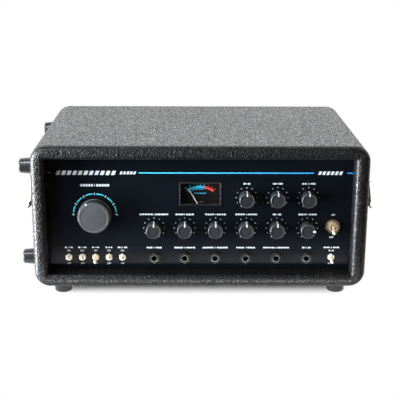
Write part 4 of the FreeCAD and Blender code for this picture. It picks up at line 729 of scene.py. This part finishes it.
# %% Levers
SMALL_TILT, MAINS_TILT = 12, 14
RAISED = {"input_switch": True, "chorus_switch": True, "echo_switch": False, "reverb_switch": True,
          "tape_switch": True, "output_level": False}
SMALL_LEVERS = {name + "_lever": up for name, up in RAISED.items()}


def bat(name, tilt, ball, neck, tip, length):
    profile = [(0, -ball), (ball * 0.7, -ball * 0.7), (ball, 0), (ball * 0.8, ball * 0.6),
               (neck, ball * 1.0), (neck * 0.95, length * 0.3), (neck * 1.05, length * 0.5),
               (tip * 0.93, length - tip * 1.9), (tip, length - tip * 1.2),
               (tip * 0.93, length - tip * 0.65), (tip * 0.7, length - tip * 0.25),
               (tip * 0.35, length - tip * 0.05), (0, length)]
    build = Build()
    build.lathe(profile, pivot(name), spin(90 - tilt, "X"), 32)
    build.make(name + "_bat", SATIN, name, name, sharp=60)


for name, up in SMALL_LEVERS.items():
    bat(name, SMALL_TILT if up else -SMALL_TILT, ball=2.2, neck=1.1, tip=1.9, length=13.4)
bat("power_lever", -MAINS_TILT, ball=4.1, neck=1.7, tip=2.7, length=17.5)
print(len(SMALL_LEVERS) + 1, "levers")

# %% [markdown]
# ## Jacks
# A phone jack shows a turned ferrule of blackened steel in its black nut, and further in the
# spring contact that holds the plug. The solid model has the bore, but no eye can see how it
# ends, so a dark sleeve closes it where the light would be lost anyway.

# %% Ferrules and contacts
JACK_ROW = middle("jack_nuts")[2]
FERRULE = [(4.66, 2.7), (4.66, 3.35), (4.52, 3.6), (4.25, 3.7), (3.98, 3.62), (3.8, 3.4), (3.3, 2.6),
           (3.14, 2.2), (3.14, -3)]
SLEEVE = [(3.12, -3), (3.12, -26), (0, -26.3)]
SPRING_LOW, SPRING_HIGH = (-1.1, 5.8, -2.95), (1.1, 15, -2.35)


def jacks():
    rings = Build()
    springs = Build()
    hollow = Build()
    for x in COLUMNS:
        spot = (x, PANEL, JACK_ROW)
        rings.lathe(FERRULE, spot, segments=56)
        hollow.lathe(SLEEVE, spot, segments=32)
        springs.block(SPRING_LOW, SPRING_HIGH, Matrix.Translation(spot))
    rings.make("jack_ferrules", SMOKED, "base")
    hollow.make("jack_hollows", DARK, "base")
    springs.make("jack_springs", BRASS, "base", round_off=0.15)


jacks()
print(len(COLUMNS), "jacks at a height of", round(JACK_ROW, 1))

# %% [markdown]
# ## Screws
# Oval heads with a cross recess hold the latches, the strap and the hinges. Cutting the
# recess out of a dome would leave ragged faces, so every point of the head has a height, and
# in the cross it is less. Each head was left at its own angle by whoever drove it. The
# keepers have plain rivets.

# %% One screw head
HEAD_RINGS = 11
HEAD_SEGMENTS = 48


def screw(build, spot, turn, radius, high, angle, cross=True):
    """A domed head, with a cross pressed in."""
    arm = radius * 0.16
    reach = radius * 0.62

    def height(u, v):
        away = math.hypot(u, v)
        dome = high * math.sqrt(max(0.0, 1 - (away / radius) ** 2 * 0.97))
        inside = min(abs(u), abs(v)) < arm and max(abs(u), abs(v)) < reach
        if not (cross and inside and away < reach):
            return dome
        return dome - min(0.55 * high, (reach - away) * 0.9)

    matrix = Matrix.Translation(spot) @ turn @ spin(angle, "Z")
    corners = [(0, 0, height(0, 0))]
    for i in range(1, HEAD_RINGS + 1):
        r = radius * i / HEAD_RINGS
        ring = [(r * math.cos(a), r * math.sin(a)) for a in circle(HEAD_SEGMENTS)]
        corners += [(u, v, height(u, v)) for u, v in ring]
    corners += [(u, v, 0) for u, v in ring]
    loops = [(0, 1 + j, 1 + (j + 1) % HEAD_SEGMENTS) for j in range(HEAD_SEGMENTS)]
    for i in range(HEAD_RINGS):
        inner = 1 + i * HEAD_SEGMENTS
        outer = inner + HEAD_SEGMENTS
        for j in range(HEAD_SEGMENTS):
            k = (j + 1) % HEAD_SEGMENTS
            loops.append((inner + j, outer + j, outer + k, inner + k))
    build.faces(corners, loops, matrix)


print("a head has", 1 + (HEAD_RINGS + 1) * HEAD_SEGMENTS, "points")

# %% All screws of the case
CASE_SIDE, CASE_BACK = box("base_cabinet")[1][:2]
PLATE = 1.2
LATCH_Y = pivot("lever_right")[1]
HINGE_Z = pivot("lid")[2]
CAPS_LOW, CAPS_HIGH = box("strap_end_caps")
CAP_SCREW_IN = 4.5
LATCH_SCREWS = (115.3, 130.5)
HINGE_SCREWS = (-140, -100, 100, 140)
# how far the hinge screws and the rivets stand from the joint, and the rivets from the latch
HINGE_SCREW_RISE, RIVET_RISE, RIVET_APART = 13.3, 3.9, 7.9


def screws():
    base = Build()
    lid = Build()
    sides = ((TO_LEFT, -1), (TO_RIGHT, 1))
    for turn, side in sides:
        for level in LATCH_SCREWS:
            spot = (side * (CASE_SIDE + PLATE), LATCH_Y, level)
            screw(base, spot, turn, 3.0, 1.65, random.uniform(0, 90))
    for y in (CAPS_LOW[1] + CAP_SCREW_IN, CAPS_HIGH[1] - CAP_SCREW_IN):
        spot = (CAPS_HIGH[0], y, middle("strap_end_caps")[2])
        screw(base, spot, TO_RIGHT, 3.1, 1.7, random.uniform(0, 90))
    for x in HINGE_SCREWS:
        for build, level in ((base, HINGE_Z - HINGE_SCREW_RISE), (lid, HINGE_Z + HINGE_SCREW_RISE)):
            screw(build, (x, CASE_BACK + PLATE, level), TO_BACK, 3.0, 1.6, random.uniform(0, 90))
    for turn, side in sides:
        for y in (LATCH_Y - RIVET_APART, LATCH_Y + RIVET_APART):
            spot = (side * (CASE_SIDE + 1.0), y, HINGE_Z + RIVET_RISE)
            screw(lid, spot, turn, 1.2, 0.5, 0, cross=False)
    base.make("case_screw_heads", NICKEL, "base", "case_screws", sharp=30)
    lid.make("lid_screw_heads", NICKEL, "lid", sharp=30)


screws()
print("screws on the sides at", round(CASE_SIDE, 1), "and on the back at", round(CASE_BACK, 1))

# %% [markdown]
# ## Carrying strap
# The strap on the right side is two layers of leather sewn together along both edges. Its
# ends slide in metal caps, and the middle stands off so that a hand fits under it. The bow
# is a plain arc, so a section carried along it does what a curve modifier would. The section
# dips where the thread pulls the layers in, and each stitch is a small block in that groove.

# %% Strap and stitches
STRAP_LOW, STRAP_HIGH = box("carry_strap")
STRAP_THICK = 3.6
STRAP_FLAT = 61.5
STRAP_MID_Y, STRAP_MID_Z = middle("carry_strap")[1:]
STRAP_HALF_LONG = (STRAP_HIGH[1] - STRAP_LOW[1]) / 2 - 0.4
STRAP_HALF_WIDE = (STRAP_HIGH[2] - STRAP_LOW[2]) / 2
SEAM = 9.6
SEAM_DIP = 0.35
SECTIONS = 75
SECTION_POINTS = 24
STITCHES = 30
STITCHED_HALF = 57


def strap_line(y):
    """Middle of the strap and its outward direction at a distance from the strap's centre."""
    base = STRAP_LOW[0] + STRAP_THICK / 2
    crest = STRAP_HIGH[0] - STRAP_THICK / 2
    if abs(y) >= STRAP_FLAT:
        return base, (1.0, 0.0)
    high = crest - base
    radius = (STRAP_FLAT ** 2 + high ** 2) / (2 * high)
    centre = crest - radius
    x = centre + math.sqrt(radius ** 2 - y ** 2)
    return x, ((x - centre) / radius, y / radius)


def rounded(part, power):
    """A sine or cosine pushed outwards, which makes a circle squarer."""
    return math.copysign(abs(part) ** power, part)


def strap_section(y):
    """The strap's outline at a distance from its centre."""
    x, (nx, ny) = strap_line(y)
    ring = []
    for a in circle(SECTION_POINTS):
        across = rounded(math.sin(a), 0.45) * STRAP_HALF_WIDE * 0.995
        out = rounded(math.cos(a), 0.7) * STRAP_THICK / 2 * 0.98
        dip = SEAM_DIP * math.exp(-((abs(across) - SEAM) / 0.7) ** 2)
        out -= dip if out > 0 else -dip
        ring.append((x + nx * out, STRAP_MID_Y + y + ny * out, STRAP_MID_Z + across))
    return ring


def strap():
    build = Build()
    steps = [2 * i / (SECTIONS - 1) - 1 for i in range(SECTIONS)]
    build.sweep([strap_section(STRAP_HALF_LONG * step) for step in steps])
    build.make("sewn_strap", STRAP, "base", "carry_strap", sharp=50)
    thread = Build()
    out = STRAP_THICK / 2 - 0.28
    for across in (-SEAM, SEAM):
        for i in range(STITCHES):
            y = STITCHED_HALF * (2 * i / (STITCHES - 1) - 1)
            x, (nx, ny) = strap_line(y)
            spot = Matrix.Translation((x + nx * out, STRAP_MID_Y + y + ny * out, STRAP_MID_Z + across))
            lean = Matrix.Rotation(math.atan2(ny, nx), 4, "Z")
            thread.block((-0.3, -1.3, -0.3), (0.32, 1.3, 0.3), spot @ lean)
    thread.make("strap_stitches", THREAD, "base", round_off=0.2)


strap()
print("strap with", 2 * STITCHES, "stitches")

# %% [markdown]
# ## Panel print
# White ink marks where each control stands. The mode selector has a tick for each setting,
# with blue arcs between them, and small dots ring the knobs. The controls are only numbered,
# each number between rules as long as a name would be. A blue stripe under the top is broken
# by slanted blocks. A mask in the paint would blur up close, so the print is flat faces a few
# hundredths of a millimetre in front of it.

# %% Labels and rows
CHARACTER_SHARE = 0.42
RULE_PITCH = 3.4
RULE_GAP = 0.6


def numbered(build, number, x, z, wide, high=1.8):
    """A control's number, with short rules on each side out to the label's width."""
    build.words(str(number), x, z, high)
    room = CHARACTER_SHARE * high * len(str(number)) + 0.5
    rule = wide / 2 - room
    count = max(1, round(rule / RULE_PITCH))
    step = rule / count
    for side in (-1, 1):
        for i in range(count):
            build.bar(x + side * (room + (i + 0.5) * step), z, step - RULE_GAP, high)


def slanted_row(build, left, right, z, high, count):
    """Equal slanted blocks that fill a stretch of the stripe."""
    pitch = (right - left) / count
    lean = high * 0.22
    for i in range(count):
        a = left + i * pitch
        b = a + pitch * 0.66
        top = 2 * lean - 0.2
        corners = [(a, PRINT, z - high / 2), (b, PRINT, z - high / 2),
                   (b + top, PRINT, z + high / 2), (a + top, PRINT, z + high / 2)]
        build.faces(corners, [(0, 1, 2, 3)])


def around(spot, radius, clockwise):
    """The (x, z) place on a circle round a spot; the angle is in degrees from upright."""
    a = math.radians(clockwise)
    return spot[0] + radius * math.sin(a), spot[2] + radius * math.cos(a)


print("labels ready")

# %% White marks
STRIPE_Z = 159.3
SETTING_STEP = 30
DOTS_FROM, DOTS, DOT_CIRCLE, DOT_RADIUS = -150, 11, 13.3, 0.55
TICKS_FROM, TICKS, TICK_CIRCLE = -90, 7, 27.2
MODE_LABEL_Z, LEVER_LABEL_Z, OUTPUT_LABEL_Z = 143.3, 60.8, 60.9
LEVER_ON_Z, LEVER_OFF_Z = 56.7, 39.3
MAINS_ON, MAINS_OFF = (169, 104.9), (168, 74.7)
LEVER_WIDTHS = (10.6, 11, 9.6, 8.7, 12.6)
ROWS = (
    # first number, first column, level, height of the figures, widths of the labels
    (2, 0, 105.1, 2.0, (37, 24, 26.6, 28, 11, 23.7)),
    (8, 3, 145.4, 2.0, (9, 12.4, 17.7)),
    (11, 0, 60.6, 1.8, (19.7, 27, 32.7, 24.5, 34, 11.5)),
)
# left end, right end, height and number of blocks
SLANTED = ((-181, -105, 5.4, 11), (-101, -80, 3.6, 5), (147.5, 179, 4.6, 6))


def white_marks():
    build = Build()
    for name in KNOBS:
        for k in range(DOTS):
            build.dot(*around(pivot(name), DOT_CIRCLE, DOTS_FROM + SETTING_STEP * k), DOT_RADIUS)
    for k in range(TICKS):
        angle = TICKS_FROM + SETTING_STEP * k
        build.bar(*around(MODE, TICK_CIRCLE, angle), 1.25, 3.0, angle)
    numbered(build, 1, MODE[0] + 0.5, MODE_LABEL_Z, 37, 3.1)
    for first, column, z, high, widths in ROWS:
        for i, wide in enumerate(widths):
            numbered(build, first + i, COLUMNS[column + i], z, wide, high)
    for i, (name, wide) in enumerate(zip(SMALL_LEVERS, LEVER_WIDTHS)):
        x = pivot(name)[0]
        numbered(build, 17 + i, x, LEVER_LABEL_Z, wide)
        build.words("ON", x, LEVER_ON_Z, 1.9)
        build.words("OFF", x, LEVER_OFF_Z, 1.9)
    build.words("ON", *MAINS_ON, 2.1)
    build.words("OFF", *MAINS_OFF, 2.1)
    x = pivot("output_level_lever")[0]
    numbered(build, 22, x, OUTPUT_LABEL_Z, 20.5)
    numbered(build, 2, x, LEVER_ON_Z, 7.2)
    numbered(build, 1, x, LEVER_OFF_Z, 7.2)
    for left, right, high, count in SLANTED:
        slanted_row(build, left, right, STRIPE_Z, high, count)
    return build.make("panel_white_print", WHITE, "base")


print(len(white_marks().data.polygons), "faces of white print")

# %% Blue stripe and arcs
STRIPE_HIGH = 1.5
STRIPES = ((-77.3, 142.4), (184.4, 191.3))
STRIPE_END = (-191.2, -186.8)
ARC_INNER, ARC_OUTER = 26.3, 27.9
ARC_GAP = 5.5


def stripe(build, left, right):
    build.bar((left + right) / 2, STRIPE_Z, right - left, STRIPE_HIGH)


def blue_marks():
    blue = Build()
    for k in range(TICKS - 1):
        start = TICKS_FROM + SETTING_STEP * k
        end = start + SETTING_STEP
        blue.arc(MODE[0], MODE[2], ARC_INNER, ARC_OUTER, start + ARC_GAP, end - ARC_GAP)
    for left, right in STRIPES:
        stripe(blue, left, right)
    blue.make("panel_blue_print", BLUE, "base")
    dim = Build()
    stripe(dim, *STRIPE_END)
    dim.make("panel_stripe_end", GREY, "base")


blue_marks()
print("stripe at a height of", STRIPE_Z)

# %% [markdown]
# ## Level meter
# Behind the window lies a black card with a printed scale: a blue band that turns red where
# the signal is too strong, with ticks and numbers. A picture of a dial might miss the needle,
# but each mark here is placed by an angle and a radius about the needle's own axle. A low
# arch marks the cut-out for the needle's hub, and a thin trim frames the window.

# %% Dial card
AXLE = pivot("needle")
WINDOW_LOW, WINDOW_HIGH = box("meter_window")
CARD_MARGIN = 0.05
CARD_LOW = WINDOW_LOW[2] - CARD_MARGIN
CARD_Y = round(AXLE[1] + 0.25, 3)
MARKS_Y = round(AXLE[1] + 0.2, 3)
HUB_RADIUS = 8.2
HUB_REACH = math.degrees(math.acos((CARD_LOW - AXLE[2]) / HUB_RADIUS))
ARCH_STEPS = 12


def dial_card():
    half = WINDOW_HIGH[0] + CARD_MARGIN
    top = WINDOW_HIGH[2] + CARD_MARGIN
    arch = []
    for i in range(ARCH_STEPS + 1):
        x, z = around(AXLE, HUB_RADIUS, -HUB_REACH + 2 * HUB_REACH * i / ARCH_STEPS)
        arch.append((x, CARD_Y, z))
    outline = [(-half, CARD_Y, CARD_LOW), *arch, (half, CARD_Y, CARD_LOW), (half, CARD_Y, top),
               (-half, CARD_Y, top)]
    card = Build()
    card.faces(outline, [tuple(range(len(outline)))])
    card.make("dial_card", DIAL_CARD, "base")


dial_card()
print("the arch opens", round(HUB_REACH), "degrees to each side")

# %% Scale and trim
BLUE_NUMBERS = ((-35, "20"), (-24, "10"), (-15, "7"), (-7, "5"), (1, "3"), (9, "0"))
RED_NUMBERS = ((19, "1"), (28, "2"), (36, "3"))
NUMBER_LEAN = 0.6
HALF_STEP = math.degrees(0.06)
CASE_LOW, CASE_HIGH = box("meter_case")
TRIM_IN = 0.4


def dial_print():
    blue = Build()
    red = Build()
    arch = Build()
    blue.arc(0, AXLE[2], 27.0, 29.3, -36, 10, MARKS_Y)
    blue.arc(0, AXLE[2], 24.9, 25.5, -35, 9, MARKS_Y)
    red.arc(0, AXLE[2], 26.8, 29.5, 10.4, 37, MARKS_Y)
    for angle, text in BLUE_NUMBERS:
        blue.bar(*around(AXLE, 29.7, angle), 0.5, 1.6, angle, MARKS_Y)
        blue.words(text, *around(AXLE, 32.1, angle), 1.9, MARKS_Y, angle * NUMBER_LEAN)
        blue.bar(*around(AXLE, 26.3, angle + HALF_STEP), 1.1, 1.6, angle, MARKS_Y)
    for angle, text in RED_NUMBERS:
        red.words(text, *around(AXLE, 31.6, angle), 1.9, MARKS_Y, angle * NUMBER_LEAN)
    for i in range(5):
        blue.bar(-6.6 + 3.3 * i, 131.2, 2.2, 1.1, 0, MARKS_Y)
    arch.arc(0, AXLE[2], HUB_RADIUS + 0.1, HUB_RADIUS + 0.7, -HUB_REACH, HUB_REACH, MARKS_Y)
    blue.make("dial_blue_print", BLUE, "base")
    red.make("dial_red_print", RED, "base")
    arch.make("dial_arch", GREY, "base")


def meter_trim():
    front, back = CASE_LOW[1] - 0.1, CASE_LOW[1] + 0.1
    top = CASE_HIGH[2]
    trim = Build()
    for left, right in ((CASE_LOW[0], CASE_LOW[0] + 0.5), (CASE_HIGH[0] - 0.8, CASE_HIGH[0])):
        trim.block((left, front, 117.0), (right, back, top))
    trim.block((-26.2, front, top - TRIM_IN), (26.2, back, top))
    trim.make("meter_trim", RIM, "base", round_off=0.08)


dial_print()
meter_trim()
print(len(BLUE_NUMBERS) + len(RED_NUMBERS), "numbers on the scale")

# %% [markdown]
# ## Rear and deck details
# The mains inlet has three flat pins, and two screws hold its flange. The tape heads have a
# fine gap in the middle of their polished face. These small things tell an inlet and a head
# from plain blocks, and small blocks are all they need.

# %% Inlet pins and head gaps
INLET_X, INLET_Z = middle("power_inlet")[::2]
INLET_BACK = box("power_inlet")[1][1]
PINS = ((-7.0, -2.0), (7.0, -2.0), (0.0, 2.5))
PIN_NEAR, PIN_FAR = 105, 118.5
FLANGE_SCREW = 19.5
HEAD_FRONT = box("tape_heads")[0][1]
HEADS = [-100 + 38 * i for i in range(5)]


def rear_and_deck():
    pins = Build()
    for across, rise in PINS:
        x, z = INLET_X + across, INLET_Z + rise
        pins.block((x - 1.0, PIN_NEAR, z - 2.0), (x + 1.0, PIN_FAR, z + 2.0))
    pins.make("inlet_pins", NICKEL, "base", round_off=0.4)
    flange = Build()
    for x in (INLET_X - FLANGE_SCREW, INLET_X + FLANGE_SCREW):
        screw(flange, (x, INLET_BACK, INLET_Z), TO_BACK, 2.6, 1.2, random.uniform(0, 90))
    flange.make("inlet_screw_heads", NICKEL, "base", sharp=30)
    gaps = Build()
    for x in HEADS:
        gaps.block((x - 0.08, HEAD_FRONT - 0.2, 145), (x + 0.08, HEAD_FRONT + 0.05, 151))
    gaps.make("head_gaps", DARK, "base")


rear_and_deck()
print(len(PINS), "inlet pins and", len(HEADS), "head gaps")

# %% [markdown]
# ## Floor
# The unit stands on a white table. A lit floor never renders as one even white, and more
# light on it would bleach the unit. So it is matt only under the unit, where it keeps the
# soft shadow. Further out it passes into plain white for rays from the eye, from a mirror or
# through glass, and it stays a matt floor for the light itself.

# %% Floor
TABLE = ((-270, -165, 0), (400, -165, 0), (400, 400, 0), (-270, 400, 0))
MATT_HALF_WIDE, MATT_HALF_DEEP = 160, 85
FADE_START, FADE_END = 8, 40


def seen_rays(g):
    """1 for rays from the eye or through glass."""
    return g.math("MAXIMUM", g.ray("Camera"), g.ray("Transmission"))


def beyond(g, axis, half):
    """How far a place lies outside a band along an axis; half is half the band's width."""
    return g.math("MAXIMUM", g.math("ABSOLUTE", g.axis(axis)) - half * MM, 0.0)


def table_material():
    g = Material("white_table", Roughness=0.9)
    g.set(Base_Color=g.mix(g.noise(60, 3), (0.86, 0.86, 0.86), (0.9, 0.9, 0.9)))
    beside = beyond(g, "X", MATT_HALF_WIDE)
    before = beyond(g, "Y", MATT_HALF_DEEP)
    away = g.math("SQRT", beside * beside + before * before)
    rays = g.math("MINIMUM", seen_rays(g) + g.ray("Glossy"), 1.0)
    plain_white = rays * g.ramp(away, FADE_START * MM, FADE_END * MM)
    g.show_mix(plain_white, g.surface, g.add("ShaderNodeEmission"))
    return g.material


def floor():
    data = bpy.data.meshes.new("table_top")
    data.from_pydata([Vector(corner) * MM for corner in TABLE], [], [(0, 1, 2, 3)])
    data.materials.append(table_material())
    obj = bpy.data.objects.new("table_top", data)
    bpy.context.collection.objects.link(obj)


floor()
print("the floor is plain white", MATT_HALF_WIDE + FADE_END, "mm to each side")

# %% [markdown]
# ## World
# A pure white world all round would light the unit flat. This one is white only where it is
# seen, directly or through glass. For reflections it is white behind the unit and through a
# window at the left, which gives the lid its sheen, and a dim warm room everywhere else.

# %% World
ROOM_LEVEL = 0.05
WINDOW_LEVEL = 0.8


def world():
    made = bpy.data.worlds.new("studio")
    made.use_nodes = True
    made.node_tree.nodes.clear()
    g = Graph(made.node_tree)
    direction = g.add("ShaderNodeTexCoord", output="Generated")
    x, y = (g.add("ShaderNodeSeparateXYZ", inputs={0: direction}, output=letter) for letter in "XY")
    behind = g.ramp(y, -0.02, 0.3)
    window = g.ramp(0 - x, 0.6, 0.85)
    bright = g.math("MINIMUM", behind + window * WINDOW_LEVEL, 1.0)
    warm = g.mix(g.ramp(x, -0.2, 0.6), (1, 1, 1), (1, 0.78, 0.56))
    white = g.add("ShaderNodeBackground", inputs={0: (1, 1, 1), 1: 1.0})
    room = g.add("ShaderNodeBackground", inputs={0: warm, 1: ROOM_LEVEL})
    reflected = g.add("ShaderNodeMixShader", inputs={0: bright, 1: room, 2: white})
    shown = g.add("ShaderNodeMixShader", inputs={0: seen_rays(g), 1: reflected, 2: white})
    g.add("ShaderNodeOutputWorld", inputs={0: shown}, output=None)
    bpy.context.scene.world = made


world()
print("world", bpy.context.scene.world.name)

# %% [markdown]
# ## Lamps
# Black vinyl shows little but what it mirrors, so each lamp is a shape for the case to show.
# A tall wall of cool light at the left draws the wide soft bands on the rounded edges. A
# small key box and a smaller one overhead pick out the knobs, and a weak warm box keeps the
# right side from going flat. A long box behind grazes the lid and lifts each pebble. A narrow
# strip before the table's edge stands for the lit table that the bottom rail mirrors.

# %% Lamps
ALL_ROUND = 180
LAMPS = {
    # name: place, what it is aimed at, width and height (all in metres), watts, tint, spread in degrees
    "key_box": ((-0.62, -0.56, 0.42), (-0.1, -0.12, 0.1), (0.2, 0.26), 3.2, (0.95, 0.97, 1), ALL_ROUND),
    "side_box": ((-2.1, -0.5, 0.0), (0, -0.13, 0.1), (1.0, 1.9), 105, (0.88, 0.94, 1), 90),
    "fill_box": ((0.9, -1.1, 0.4), (0, -0.1, 0.1), (0.3, 0.4), 2.6, (1, 0.86, 0.68), ALL_ROUND),
    "back_box": ((0, 0.85, 0.6), (0, -0.1, 0.2), (1.8, 0.5), 2.6, (0.95, 0.975, 1), ALL_ROUND),
    "table_glow": ((0, -0.2, -0.019), (0, -0.137, 0.015), (0.46, 0.04), 0.1, (1, 1, 1), 80),
    "top_box": ((-0.4, -0.5, 0.85), (-0.05, -0.12, 0.1), (0.15, 0.2), 2.5, (1, 1, 1), ALL_ROUND),
}


def soft_box(name, spot, target, size, watts, tint, spread):
    data = bpy.data.lights.new(name, "AREA")
    data.shape = "RECTANGLE"
    data.size, data.size_y = size
    data.energy = watts
    data.color = tint
    data.spread = math.radians(spread)
    obj = bpy.data.objects.new(name, data)
    aim = Vector(target) - Vector(spot)
    obj.location = spot
    obj.rotation_euler = aim.to_track_quat("-Z", "Y").to_euler()
    obj.visible_camera = False
    bpy.context.collection.objects.link(obj)


for name, values in LAMPS.items():
    soft_box(name, *values)
print(len(LAMPS), "lamps")

# %% [markdown]
# ## Camera
# The camera looks slightly down on the front, from a little more than a metre away, with a
# long lens that keeps the sides nearly parallel. It is turned by three angles rather than
# aimed at a point, because aiming leaves no say in the roll.

# %% Camera
LENS, SENSOR = 85.0, 36.0
CAMERA_SPOT = (-0.0166, -1.2584, 0.4603)
CAMERA_TURN, CAMERA_DOWN, CAMERA_ROLL = -0.82, 16.39, 0.29


def camera():
    data = bpy.data.cameras.new("camera")
    data.lens = LENS
    data.sensor_width = SENSOR
    obj = bpy.data.objects.new("camera", data)
    turn = spin(CAMERA_TURN, "Z")
    down = spin(90 - CAMERA_DOWN, "X")
    roll = spin(CAMERA_ROLL, "Z")
    obj.matrix_world = Matrix.Translation(CAMERA_SPOT) @ turn @ down @ roll
    bpy.context.collection.objects.link(obj)
    scene = bpy.context.scene
    scene.camera = obj
    scene.view_settings.view_transform = "Standard"


camera()
print("camera with a lens of", LENS, "mm")
